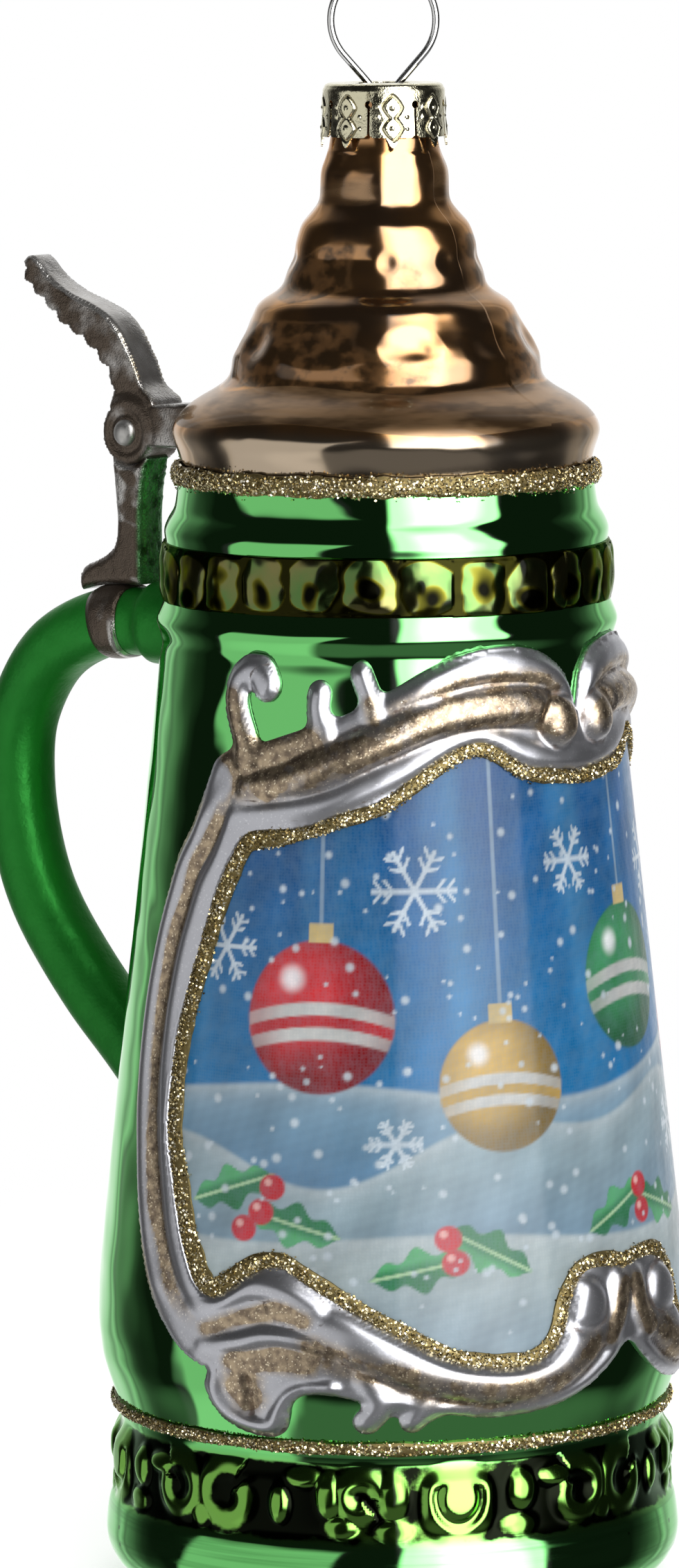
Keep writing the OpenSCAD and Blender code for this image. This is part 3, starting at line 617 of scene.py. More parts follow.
height, angle = sheet(body_line[:, 0], round_columns(BODY_COLUMNS))
radius = np.repeat(body_line[:, 1:], BODY_COLUMNS, 1)
outside = np.zeros(len(body_line), bool)
outside[len(base_line) + len(base_round):][: len(side_line)] = True
relief, low = foot_relief(angle, height)
radius = radius + np.where(outside[:, None], relief, 0)
body_points, body_faces = closed_tube(on_round(radius, angle, height).reshape(-1, 3), BODY_COLUMNS)
body_low = np.append(np.where(outside[:, None], low, 0).ravel(), [0, 0])
aged = ease(height, 7.6, 9) * (1 - ease(height, 14.8, 16.2))
body_aged = np.append(np.where(outside[:, None], aged, 0).ravel(), [0, 0])
print("body rows", len(body_line), "tallest relief", round(float(relief.max()), 2), "mm")

# %% [markdown]
# ### Green lacquer
# Lacquer over silver is a coloured mirror: a metal with a green base colour, under a clear coat that
# whitens towards the edges. The foot shows fine brush lines and small dark specks.

# %% Green lacquer
green_lacquer, tree, shader = new_finish("green lacquer")
# The low mark holds the wash in the relief's hollows and the painted shade round the foot
dark = effect(tree, wash, Scale=520.0, Stretch=0.8, Recess=marked(tree, "low"), Cover=0.1)
brush = effect(tree, wash, Scale=500.0, Stretch=0.02, Cover=0.3)
place = place_in(tree)
up = put(tree, "ShaderNodeSeparateXYZ", {0: place}).outputs[2]
foot_share = spread(up, 0.0075, 0.0095, 1, 0)
lines = times(spread(brush["Streak"], 0.42, 0.7), foot_share)
speck = spread(cells(place, 330.0), 0.06, 0.1, 1, 0)
green = mix(times(lines, 0.6), (0.155, 0.55, 0.155), (0.05, 0.24, 0.05))
green = mix(marked(tree, "aged"), green, (0.15, 0.36, 0.055))
specks = times(speck, times(foot_share, 0.8))
green = mix(specks, green, (0.02, 0.03, 0.01))
green = mix(dark["Mask"], green, (0.003, 0.004, 0.002))
rough = piled(0.035, (dark["Mask"], 0.06), (lines, 0.12), (marked(tree, "aged"), 0.11))
coat = spread(dark["Mask"], 0.0, 1.0, 0.25, 0.02, step="LINEAR")
feed(
    shader, Base_Color=green, Metallic=1.0, Roughness=rough, Coat_Weight=coat, Coat_Roughness=0.03,
    Specular_Tint=(0.8, 1.0, 0.8, 1), Normal=uneven(tree, 110.0, 0.0, 0.3, 0.002),
)
add_piece(
    "green_bubble", body_points, body_faces, "stein", "green_glass", ["stein_body"], green_lacquer,
    low=body_low, aged=body_aged,
)

# %% [markdown]
# ## Bead band
# A row of moulded oval beads runs round the collar. One looped grid carries them all: the radius rises
# over an oval for every bead. Dark wash lies on the ground between the beads, soft dark blots lie on
# their middles, and both turn yellow where they thin out.

# %% Bead band
BEADS = 26
BEAD_LOW, BEAD_HIGH = 93.3, 98.7
BEAD_BACK, BEAD_GROUND, BEAD_RISE = 20.2, 21.09, 0.32
bead_columns = BEADS * 32
bead_heights = np.linspace(BEAD_LOW, BEAD_HIGH, 41)
ring = round_columns(bead_columns)
height, angle = sheet(bead_heights, ring)
which = np.floor(angle * BEADS / 360 + 0.5)
sway = 0.18 * np.sin(which * 12.9898) + 0.14 * ripple(61, np.radians(angle) * 9, height * 0.9)
step = (angle * BEADS / 360 + 0.5) % 1 * 2 - 1 + sway
rise = (height - (BEAD_LOW + BEAD_HIGH) / 2) / ((BEAD_HIGH - BEAD_LOW) / 2)
rise = rise + 0.08 * np.sin(which * 7.1) + 0.05 * ripple(62, np.radians(angle) * 12)
swell = np.clip(1 - np.abs(step / 0.98) ** 2.4 - np.abs(rise / 0.98) ** 3.2, 0, 1)
swell = swell * (1 + 0.1 * ripple(63, np.radians(angle) * 20, height * 1.4))
ground = BEAD_GROUND - 0.12 * (np.abs(rise) > 0.97)
bead_points = np.vstack([
    on_round(BEAD_BACK, ring, BEAD_LOW),
    on_round(ground + BEAD_RISE * swell, angle, height).reshape(-1, 3),
    on_round(BEAD_BACK, ring, BEAD_HIGH),
])
bead_faces = grid_quads(len(bead_heights) + 2, bead_columns, ring=True)
ragged = 0.22 * ripple(64, np.radians(angle) * 15, height * 1.5)
core = np.hypot(step / (0.8 + 0.2 * np.sin(which * 5.3)), (rise + 0.25 + 0.2 * np.sin(which * 9.1)) / 0.95)
between = 0.6 * ease(swell, 0.28, 0.0)
bead_low = np.clip(np.maximum(bump(core + ragged) - 0.1, between), 0, 1)
bead_low = np.concatenate([np.full(bead_columns, 0.1), bead_low.ravel(), np.full(bead_columns, 0.1)])

washed_beads, tree, shader = new_finish("washed beads")
dark = effect(tree, wash, Scale=300.0, Stretch=0.8, Recess=marked(tree, "low"), Cover=0.3)
tint = effect(tree, wash, Scale=150.0, Stretch=0.8, Cover=0.55)
green = mix(tint["Mask"], (0.075, 0.155, 0.042), (0.165, 0.15, 0.053))
darkening = piled(marked(tree, "low"), (dark["Mask"], 0.22))
green = mix(spread(darkening, 0.05, 0.5), green, (0.12, 0.115, 0.01))
green = mix(spread(darkening, 0.25, 0.95), green, (0.002, 0.002, 0.001))
rough = piled(0.15, (darkening, 0.1))
coat = spread(darkening, 0.2, 0.8, 0.14, 0.02)
feed(
    shader, Base_Color=green, Metallic=1.0, Roughness=rough, Coat_Weight=coat, Coat_Roughness=0.05,
    Specular_Tint=(0.35, 0.45, 0.25, 1), Normal=uneven(tree, 400.0, 0.0, 0.45, 0.0008),
)
add_piece(
    "bead_ring", bead_points, bead_faces, "stein", "patina_glass", ["bead_band"], washed_beads, low=bead_low,
)

# %% [markdown]
# ## Copper lid
# The lid is the upper part of the same bubble, dipped in copper-brown lacquer. Its two tiers carry rows of
# pressed dimples, the shoulder is wiped matte brown, and its rim stays nearly silver. It
# is turned like the body; the neck on top is open, for the cap's wire goes down into it.

# %% Profile and dimples of the lid
LID_LINE = np.array([
    (105, 19.2), (105.8, 19.24), (106.5, 19.36), (107.3, 19.58), (108.2, 19.92), (109, 20.13),
    (109.8, 19.95), (110.5, 19.5), (111, 19.03), (111.6, 18.25), (112.3, 17.2), (112.9, 16.05),
    (113.6, 15.08), (114.2, 14.62), (114.9, 14.5), (116.2, 14.44), (117.5, 13.86), (118.8, 12.95),
    (120.1, 12.24), (120.7, 12.0), (121.4, 11.28), (122, 10.11), (122.7, 9.47), (124, 9.15), (125.3, 8.57),
    (126.6, 8.45), (127.8, 8.06), (128.5, 7.74), (129.1, 7.16), (129.8, 6.52), (130.4, 6.07), (131, 5.95),
    (133, 5.95), (133.7, 5.83), (134.3, 5.57), (135, 5.32), (136, 5.0), (141, 5.0),
])
# Dimples of the lower and the upper tier: bearing of one and degrees between two
LOW_AT, LOW_STEP = -113.5, 36
HIGH_AT, HIGH_STEP = -10, 40
lid_heights, lid_radii = softened(LID_LINE, 0.28)


def lid_relief(angle, height):
    """Depth of the pressed dimples, in millimetres."""
    low_step = (np.mod(angle - LOW_AT + LOW_STEP / 2, LOW_STEP) - LOW_STEP / 2) * math.radians(1) * 13.8
    high_step = (np.mod(angle - HIGH_AT + HIGH_STEP / 2, HIGH_STEP) - HIGH_STEP / 2) * math.radians(1) * 8.8
    size = 1 + 0.25 * np.sin(np.round((angle - LOW_AT) / LOW_STEP) * 2.4)
    low = bump(np.hypot(low_step / (4.0 * size), (height - 117.4) / 2.2))
    high = bump(np.hypot(high_step / 1.5, (height - 125.0) / 1.5))
    waves = 0.12 * ripple(5, np.radians(angle) * 4, height * 0.6) * ease(height, 110, 112)
    drips = 0.035 * ripple(6, np.radians(angle) * 9, height * 0.15) * ease(height, 127.5, 130)
    return -0.6 * low - 0.14 * high + waves + drips


# %% Skin of the lid
LID_COLUMNS = 480
lid_rows = np.concatenate([
    np.arange(105.02, 135.5, 0.16), np.arange(135.5, 141, 1.0), [140.7, 140.93, 141.0],
])
lid_r = np.interp(lid_rows, lid_heights, lid_radii)
lid_r[-2:] -= (0.08, 0.3)
inside_rows = np.array([141.0, 140.9, 136, 130, 122, 114, 109, 105.02])
inside_r = np.array([4.3, 4.05, 4.0, 4.9, 8.8, 13.4, 18.4, 18.6])
lid_line = np.vstack([np.stack([lid_rows, lid_r], -1), np.stack([inside_rows, inside_r], -1)])
height, angle = sheet(lid_line[:, 0], round_columns(LID_COLUMNS))
dent = lid_relief(angle, height) * (np.arange(len(lid_line)) < len(lid_rows))[:, None] * (height < 135)
lid_points = on_round(lid_line[:, 1:] + dent, angle, height).reshape(-1, 3)
lid_faces = grid_quads(len(lid_line), LID_COLUMNS, ring=True)
wobble = 0.6 * ripple(11, np.radians(angle) * 3, height * 0.3)
matte = ease(height + wobble, 109.6, 110.6) * (1 - ease(height + wobble, 113.2, 114.6))
matte = matte + 0.35 * ease(height, 121, 121.6) * (1 - ease(height, 122.2, 122.8))
bare = 1 - ease(height + 0.5 * wobble, 108.8, 110.2)
bearing = np.mod(angle + 180, 360) - 180
# On the neck the brown wash is left off where the soft box's highlight falls: a painted shade round that
# highlight
matte = matte + ease(height, 129.2, 130.6) * (0.5 - 0.45 * bump((bearing + 32) / 42))
# Painted shade: the tiers are darker to the left and at the far right, where they reflect little light
shade = 0.4 + 1.3 * bump((bearing + 102) / 62) + 0.8 * bump((bearing - 30) / 48)
shade = shade + 0.4 * ripple(12, np.radians(bearing) * 5, height * 0.5)
ragged = height + wobble
soot = ease(ragged, 113.4, 114.6) * (1 - 0.75 * ease(ragged, 119.5, 121)) * shade
soot = soot + ease(ragged, 122.2, 123.2) * (1 - ease(ragged, 126, 127.6)) * shade
soot = soot - 0.1 * ease(height, 129, 131)
# More painted shade low on the lower tier's left, where the side panel's reflection would fall
soot = soot + 2.0 * bump((bearing + 76) / 50) * bump((height - 114.8) / 3.8)

# %% [markdown]
# ### Copper lacquer
# The finish blends three states that the painter leaves: bare silver at the rim, copper on the tiers and a
# matte brown wash on the shoulder. Dark streaks run round the lid, and painted shade darkens its tiers at the
# sides.

# %% Copper lacquer
copper_lacquer, tree, shader = new_finish("copper lacquer")
# This mark carries the dark streaks and the painted shade of the tiers
sooty = times(marked(tree, "soot"), 0.5)
soot_and_shade_blot = effect(tree, wash, Scale=210.0, Stretch=0.8, Recess=sooty, Cover=0.12)
# This mark holds the wiped shoulder and the neck's painted shade
streak = effect(tree, wash, Scale=240.0, Stretch=0.2, Recess=marked(tree, "matte"), Cover=0.0)
place = place_in(tree)
mottle = spread(noise(place, 170.0, 6.0), 0.38, 0.62)
copper = mix(mottle, (0.31, 0.185, 0.10), (0.52, 0.27, 0.105))
copper = mix(marked(tree, "bare"), copper, (0.44, 0.35, 0.25))
# A dark colour for the streaks and for the painted shade of the tiers
darkening = mix(spread(soot_and_shade_blot["Streak"], 0.4, 0.62), (0.05, 0.028, 0.012), (0.27, 0.135, 0.052))
copper = mix(times(soot_and_shade_blot["Mask"], 0.92), copper, darkening)
brown = mix(spread(streak["Streak"], 0.38, 0.62), (0.11, 0.062, 0.028), (0.33, 0.20, 0.10))
copper = mix(streak["Mask"], copper, brown)
rough = piled(0.14, (streak["Mask"], 0.18), (soot_and_shade_blot["Mask"], 0.05))
metallic = spread(streak["Mask"], 0.0, 1.0, 0.97, 0.78, step="LINEAR")
metallic = minus(metallic, times(soot_and_shade_blot["Mask"], 0.25))
feed(
    shader, Base_Color=copper, Metallic=metallic, Roughness=rough, Coat_Weight=0.5, Coat_Roughness=0.08,
    Specular_Tint=(0.85, 0.7, 0.55, 1), Normal=uneven(tree, 150.0, 0.0, 0.3, 0.002),
)
add_piece(
    "copper_lid", lid_points, lid_faces, "stein", "copper_glass", ["stein_lid"], copper_lacquer,
    matte=np.clip(matte, 0, 1), bare=bare, soot=soot,
)

# %% [markdown]
# ## Scroll frame
# The moulded frame round the picture is a low relief: rolls, grooves, hooks and curls that hug the wall. It
# could be sculpted by hand. Here the wall is unrolled to a flat sheet, a fine grid covers it, and
# each point gets a height from its distance to the lines that a carver would draw: the frame's
# two edges, the rolls along it and the curls at its corners. The sheet is then rolled back on the glass.

# %% Lines of the frame
ARC = math.radians(1) * 25.03
# The right-hand half of the picture's edge, as degrees from the middle and height
PICTURE_EDGE = [
    (0, 77.9), (10, 78.3), (17, 78.7), (22, 79.7), (26, 80.8), (30, 81.2), (35, 80.7), (42, 79.1),
    (52, 76.3), (58, 75.4), (63, 74.8), (68, 74), (75, 73.3), (81, 73), (84.5, 72.6), (86.5, 71.6),
    (91, 67.8), (94, 63.8), (97, 59.5), (100, 54.5), (101, 49), (100.5, 45), (98, 41), (95, 36.6),
    (92.5, 34), (90.5, 32.4), (88, 31.6), (85, 32.2), (80, 33.9), (76, 34.7), (72, 34.6), (68, 33.5),
    (60, 31.3), (55, 29.9), (50, 28.6), (41, 26.4), (35, 25.6), (28, 25.3), (23, 25.7), (20, 26.7),
    (18, 28.4), (17, 30.2), (15, 32), (12, 33.3), (6, 33.6), (0, 33.1),
]
# The frame's outer edge without its hooks and fingers
FRAME_EDGE = [
    (0, 84), (3, 87.4), (9, 89.4), (17, 90.3), (26, 90.4), (34, 89.8), (42, 88.6), (50, 86.9), (57, 85.4),
    (64, 84.2), (71, 83.3), (77, 82.5), (84, 81.6), (91, 81), (96, 79.8), (98.5, 77.5), (102, 73.9),
    (107, 70.3), (112, 64.3), (115, 58.5), (116, 52.5), (115.5, 47.5), (113.5, 42), (110.5, 36.5),
    (106.5, 31.8), (101.5, 28.2), (96, 25.6), (91.5, 24.5), (88.8, 24), (89.6, 22.6), (88.4, 20.6),
    (84.4, 18.8), (77, 17.95), (72.7, 18.8), (71, 21.2), (68.5, 22.3), (64, 22.5), (58, 22), (51, 21.2),
    (44.5, 20.4), (40, 20.5), (33, 20), (25, 20.1), (17, 20.8), (11, 22), (7, 23.2), (4, 24.3), (2, 25.2),
    (0, 25.6),
]
# Hooks and fingers: half width and line
HOOKS = [
    (1.45, [(86.5, 80.3), (87.6, 82), (89.6, 83.8), (90.8, 85.6), (90, 87.3), (87.3, 88.3), (84.3, 88.3)]),
    (1.65, [(82.8, 87.4), (82.2, 87.1)]),
    (1.3, [(66.2, 81.5), (67.4, 83.6), (68.3, 85.2), (68, 86.4)]),
    (1.25, [(54.4, 84), (55.6, 86), (57.1, 87.6), (57.7, 88.2)]),
    (1.2, [(55.8, 24), (53.8, 21.6), (56.4, 19.9)]),
    (1.05, [(44.5, 22), (46.2, 20.6), (47.6, 19.9)]),
]
# Rolls: half width at the start and at the end, height and line
ROLLS = [
    (0.7, 1.5, 0.8, [
        (56, 84.4), (47.3, 86), (41, 87.2), (34, 88.2), (26, 88.7), (15, 88.4), (7, 87), (2.5, 84.6)]),
    (1.2, 1.85, 1.25, [
        (86, 77.6), (75, 78.4), (65.7, 79.9), (53.1, 82.2), (40.4, 84.2), (28.1, 85), (15.5, 84.9), (9, 84)]),
    (0.7, 1.1, 0.4, [
        (92, 74.8), (80, 75.4), (66, 76.4), (58.8, 77.6), (45.2, 80), (33.4, 81.9), (25, 81.7), (14, 80.4),
        (6, 79.9), (0, 79.9)]),
    (1.0, 2.45, 1.3, [
        (74, 30.2), (64.4, 29), (55.8, 27.2), (47.3, 25.6), (38.7, 24.3), (29.7, 23.6), (20.1, 24.3),
        (13.5, 26.4), (11.5, 28.5)]),
    (0.5, 0.75, 0.4, [(60, 22.9), (47, 21.4), (33, 20.8), (20, 21.2), (10, 23), (3, 25.4)]),
    (0.9, 1.2, 0.8, [(93, 29.6), (86, 30.9), (79, 32.2), (72, 31.8), (66, 30.2)]),
    (0.6, 0.8, 0.75, [(90, 26.2), (82, 26.9), (76, 27.7), (70, 27.7), (63, 26.9)]),
    (1.0, 1.3, 0.85, [(0, 33), (2.5, 31), (3.4, 28.8), (6, 26.5)]),
    (0.7, 0.8, 0.75, [
        (92, 25), (88.2, 24.2), (87.4, 21.6), (83.4, 19.7), (76.2, 19), (73.2, 20.6), (70, 22.3), (63, 23)]),
]
# Strokes of bronze powder: half width, share and line
STROKES = [
    (2.1, 0.8, [
        (90, 78), (75, 78.5), (65.7, 79.9), (53.1, 82.1), (40.4, 84), (28.1, 84.8), (15.5, 84.8),
        (6.4, 83.4)]),
    (0.9, 0.7, [(50, 85), (40, 86.7), (30, 87.4), (18, 87.6), (8, 86.4)]),
    (1.5, 0.75, [
        (66, 26.6), (62.2, 25.9), (51.5, 24.3), (40.8, 22.9), (29.6, 22.3), (17.5, 23.6), (10.5, 26)]),
    (0.9, 0.95, [(89, 27.7), (80.6, 29.2), (73.5, 30), (68, 29.4)]),
    (1.2, 1.0, [(82, 25.1), (74, 25.6), (67.5, 25.2)]),
    (1.9, 1.0, [(80.5, 23), (79.5, 21.9)]),
    (2.0, 0.95, [(90, 80.4), (80, 80.7), (70, 81.4)]),
    (1.1, 0.9, [(88, 82), (90, 83.8), (91.4, 85.8)]),
    (1.0, 0.85, [(54.4, 84), (55.4, 85.6)]),
    (1.1, 1.0, [(1.5, 31), (3.4, 28.8), (6, 26.5)]),
]
# Small rolled ends: radius, height, angle, height up the wall
BALLS = [(2.5, 1.6, 7.2, 83.3), (2.4, 1.3, 12, 29.8), (1.5, 0.5, 82.4, 87.3)]


def glitter_half(s):
    """Half the width of the glitter line round the picture: broader down its sides."""
    return 0.66 + 0.3 * ease(np.abs(s), 66 * ARC, 92 * ARC)


def unrolled(points):
    return np.asarray(points, float) * (ARC, 1)


def carved(line):
    return curve_through(unrolled(line))


def both_halves(half):
    half = curve_through(unrolled(half), 5)
    return np.vstack([half, half[-2:0:-1] * (-1, 1)])


picture_edge = both_halves(PICTURE_EDGE)
frame_edge = both_halves(FRAME_EDGE)
print("picture", np.ptp(picture_edge, 0).round(1), "mm, frame", np.ptp(frame_edge, 0).round(1), "mm")

# %% [markdown]
# Helpers measure on the unrolled wall: the distance to an open line, and the distance to a closed
# outline, which counts as negative outside. Another one cuts a grid along the zero line of such a
# distance: it keeps the squares inside and pulls the points on their border onto the line, so that
# the cut is clean without needing a very fine grid. The last one closes two such sheets to a skin.


# %% Distances and cut sheets
def line_place(points, s, z):
    """Distance to an open line, and how far along it the nearest place lies, from 0 to 1."""
    best = np.full(np.shape(s), 1e9)
    share = np.zeros(np.shape(s))
    run = run_along(points)
    for k, ((x0, y0), (x1, y1)) in enumerate(zip(points[:-1], points[1:])):
        dx, dy = x1 - x0, y1 - y0
        t = np.clip(((s - x0) * dx + (z - y0) * dy) / max(dx * dx + dy * dy, 1e-9), 0, 1)
        far = (s - x0 - t * dx) ** 2 + (z - y0 - t * dy) ** 2
        share = np.where(far < best, (run[k] + t * (run[k + 1] - run[k])) / run[-1], share)
        best = np.minimum(best, far)
    return np.sqrt(best), share


def line_distance(points, s, z):
    return line_place(points, s, z)[0]


def inside_distance(outline, s, z):
    ring = closed_line(np.asarray(outline, float))
    crossed = np.zeros(np.shape(s), bool)
    for (x0, y0), (x1, y1) in zip(ring[:-1], ring[1:]):
        if y0 != y1:
            crossed ^= ((y0 > z) != (y1 > z)) & (s < (x1 - x0) * (z - y0) / (y1 - y0) + x0)
    return np.where(crossed, 1, -1) * line_distance(ring, s, z)


def cut_sheet(s, z, field, looped=False):
    """Cuts a grid where a field is above zero: kept places, faces, border edges and which points are kept."""
    columns, rows = s.shape
    pitch = abs(z[0, 1] - z[0, 0])
    kept = field > -0.45 * pitch
    after = np.roll(np.arange(columns), -1)
    span = columns if looped else columns - 1
    square = kept & kept[after]
    square = square[:span, :-1] & square[:span, 1:]
    count = np.zeros(s.shape, int)
    i, j = np.nonzero(square)
    k = after[i]
    for a, b in ((i, j), (k, j), (k, j + 1), (i, j + 1)):
        np.add.at(count, (a, b), 1)
    if looped:
        turn = s[1, 0] - s[0, 0]
        slope_s = (np.roll(field, -1, 0) - np.roll(field, 1, 0)) / (2 * turn)
    else:
        slope_s = np.gradient(field, s[:, 0], axis=0)
    slope_z = np.gradient(field, z[0], axis=1)
    used = count > 0
    steep = np.maximum(slope_s**2 + slope_z**2, 0.2)
    move = np.where(used & (count < 4) & (np.abs(field) < pitch), field / steep, 0)
    number = np.full(s.shape, -1)
    number[used] = np.arange(used.sum())
    quads = np.stack([number[i, j], number[k, j], number[k, j + 1], number[i, j + 1]], -1)
    edges = np.vstack([quads[:, [k, (k + 1) % 4]] for k in range(4)])
    key = np.sort(edges, 1)
    _, back, shared = np.unique(key[:, 0] * s.size + key[:, 1], return_inverse=True, return_counts=True)
    border = edges[shared[back] == 1]
    return (s - move * slope_s)[used], (z - move * slope_z)[used], quads, border, used


def shell(top, bottom, quads, edges):
    """A closed skin from an upper sheet, a lower sheet and the strip round their border."""
    n = len(top)
    faces = quads.tolist() + (quads[:, ::-1] + n).tolist()
    faces += np.stack([edges[:, 1], edges[:, 0], edges[:, 0] + n, edges[:, 1] + n], -1).tolist()
    return np.vstack([top, bottom]), faces


# %% Relief of the frame
PITCH = 0.26
FILLET = 1.2
FRAME_REACH = 29.05
# The plain rail down each side: how far in from its edge, and its height, bronze and groove there
RAIL_STEPS = [0, 0.5, 1.2, 2.0, 2.5, 3.5, 3.9, 4.4, 5.2, 7]
RAIL_TALL = [0.3, 0.8, 1.1, 1.0, 0.7, 0.5, 0.42, 0.8, 0.85, 0.4]
BRONZE_STEPS = [0, 0.65, 0.95, 2.2, 2.45, 3.65, 3.9, 7]
RAIL_BRONZE = [0.95, 0.9, 0.03, 0.03, 0.95, 0.95, 0, 0]
GROOVE_STEPS = [0, 0.3, 0.7, 0.95, 2.2, 2.5, 3.5, 3.8, 4.1, 7]
RAIL_GROOVE = [1, 0.7, 0.4, 0, 0, 0.5, 0.5, 0.9, 0, 0]
s, z = sheet(np.arange(-52, 52.01, PITCH), np.arange(17.4, 91.2, PITCH))
side = np.abs(s)
beside = -inside_distance(picture_edge, s, z) - glitter_half(s) + 0.2
from_outside = inside_distance(frame_edge, s, z)
for half, line in HOOKS:
    finger = half - line_distance(carved(line), side, z)
    share = np.clip(0.5 + 0.5 * (finger - from_outside) / FILLET, 0, 1)
    from_outside = from_outside + (finger - from_outside) * share + FILLET * share * (1 - share)
field = np.minimum(beside, from_outside)
s_kept, z_kept, faces, edges, used = cut_sheet(s, z, field)
edge = np.clip(field / 0.9, 0, 1)
tall = 0.2 + 0.3 * np.sqrt(1 - (1 - edge) ** 2)
rail = ease(side, 84 * ARC, 93 * ARC) * ease(z, 27, 32) * (1 - ease(z, 74, 78))
rail_tall = np.interp(from_outside, RAIL_STEPS, RAIL_TALL)
rail_ragged = from_outside + 0.2 * ripple(51, s * 0.5, z * 0.8, waves=9)
rail_bronze = np.interp(rail_ragged, BRONZE_STEPS, RAIL_BRONZE)
rail_groove = np.interp(from_outside, GROOVE_STEPS, RAIL_GROOVE)
swell = np.zeros_like(s)
groove = np.zeros_like(s)
for thin, wide, high, line in ROLLS:
    off, along_roll = line_place(carved(line), side, z)
    fade = ease(along_roll, 0, 0.3)
    off = off / (thin + (wide - thin) * fade)
    roll = np.clip(1 - off**2, 0, 1) ** 0.65
    swell = np.maximum(swell, high * roll * (0.35 + 0.65 * fade))
    groove = np.maximum(groove * ease(off, 0.3, 0.8), ease(off, 0.85, 1.0) * ease(off, 1.3, 1.05) * 0.85)
for radius, high, angle, up in BALLS:
    off = np.hypot(side - angle * ARC, z - up) / radius
    swell = np.maximum(swell * ease(off, 0.6, 1.3), high * np.sqrt(np.clip(1 - off**2, 0, 1)))
    groove = np.maximum(groove * ease(off, 0.6, 1.0), ease(off, 0.85, 1.0) * ease(off, 1.3, 1.05))
bronze = np.zeros_like(s)
stroke_ragged = 0.15 * ripple(52, s * 0.7, z * 0.9, waves=9)
for half, share, line in STROKES:
    off = line_distance(carved(line), side, z) / half
    bronze = np.maximum(bronze, share * ease(off + stroke_ragged, 1.4, 0.5))
for half, line in HOOKS:
    off = line_distance(carved(line), side, z) / half
    swell = np.maximum(swell, 0.5 * np.sqrt(np.clip(1 - off**2, 0, 1)) * ease(field, 0, 0.3))
bare_corner = ease(np.hypot(side - 94.5 * ARC, z - 77.8), 1.4, 2.2)
fold = line_distance(unrolled([(79.7, 23.7), (79.2, 22.2), (79.6, 20.4)]), side, z)
tall = tall + swell * ease(field, 0, 0.8)
tall = tall * (1 - rail) + rail_tall * rail
bronze = (bronze * (1 - rail) + rail_bronze * rail) * bare_corner
groove = groove * (1 - rail) + rail_groove * rail
groove = np.maximum.reduce([groove, ease(fold, 0.7, 0.1), ease(from_outside, 0.5, 0.1) * 0.75])
tall = tall - 0.3 * ease(fold, 0.9, 0.1)
tall = tall + 0.02 * ripple(3, s * 0.9, z * 0.9) - 0.1 * groove


def blurred(values, inside, times):
    """Softens a grid of heights without letting what lies outside bleed in."""
    for _ in range(times):
        for axis in (0, 1):
            total = sum(np.roll(values * inside, k, axis) * w for k, w in ((-1, 1), (0, 2), (1, 1)))
            weight = sum(np.roll(inside, k, axis) * w for k, w in ((-1, 1), (0, 2), (1, 1)))
            values = np.where(inside > 0, total / np.maximum(weight, 1e-9), values)
    return values


tall = blurred(tall, (used & (field > -0.1)).astype(float), 2)
turn = np.radians(s / ARC)
reach = FRAME_REACH / np.maximum(np.abs(np.sin(turn)), np.cos(turn))
room_left = reach - wall_radius(z)
tall = np.maximum(0.1, room_left * np.tanh(tall / room_left))
wall = wall_radius(z_kept)
frame_top = on_round(wall + tall[used], s_kept / ARC, z_kept)
frame_bottom = on_round(wall - 0.15, s_kept / ARC, z_kept)
frame_points, frame_faces = shell(frame_top, frame_bottom, faces, edges)

# %% [markdown]
# ### Silver paint with bronze
# The relief is painted satin silver, and bronze powder is wiped into its rolls and grooves. The paint
# holds fine metal flakes that sparkle. The masks that the relief left on the points say
# where the bronze and the dark lines lie; noise breaks their edges.

# %% Silver paint
silver_paint, tree, shader = new_finish("silver paint with bronze")
tinted = times(marked(tree, "bronze"), 0.85)
patch = effect(tree, wash, Scale=420.0, Stretch=1.0, Recess=tinted, Cover=0.0)
grooved = times(marked(tree, "groove"), 0.6)
lines = effect(tree, wash, Scale=700.0, Stretch=1.0, Recess=grooved, Cover=0.0)
tilt = spread(patch["Mask"], 0.0, 1.0, 0.03, 0.1)
flake = effect(tree, sparkle, Scale=7000.0, Tilt=tilt, Share=0.12)
silver = mix(times(flake["Glint"], 0.5), (0.50, 0.505, 0.54), (0.74, 0.745, 0.77))
tone = mix(spread(patch["Streak"], 0.3, 0.7), (0.165, 0.112, 0.062), (0.48, 0.365, 0.225))
tone = mix(flake["Glint"], tone, (0.85, 0.72, 0.50))
colour = mix(sums("MAXIMUM", tinted, times(patch["Mask"], 0.9)), silver, tone)
colour = mix(times(lines["Mask"], 0.75), colour, (0.075, 0.045, 0.028))
rough = piled(0.33, (lines["Mask"], 0.2))
feed(
    shader, Base_Color=colour, Metallic=0.92, Roughness=rough, Normal=flake["Normal"], Specular_IOR_Level=0.5,
)
add_piece(
    "scroll_relief", frame_points, frame_faces, "stein", "silver_paint", ["scroll_frame"], silver_paint,
    bronze=np.tile(bronze[used], 2), groove=np.tile(groove[used], 2),
)

# %% [markdown]
# ## Picture
# A printed film lies inside the frame, under clear lacquer. The print here is a plain winter design of
# the maker's own: a blue sky with falling snow, snowy hills, hanging balls and holly. An image texture
# would be the usual way; here the colours are worked out for each point of a fine sheet,
# so the file needs no picture. A halftone in the shader gives it the printed look.

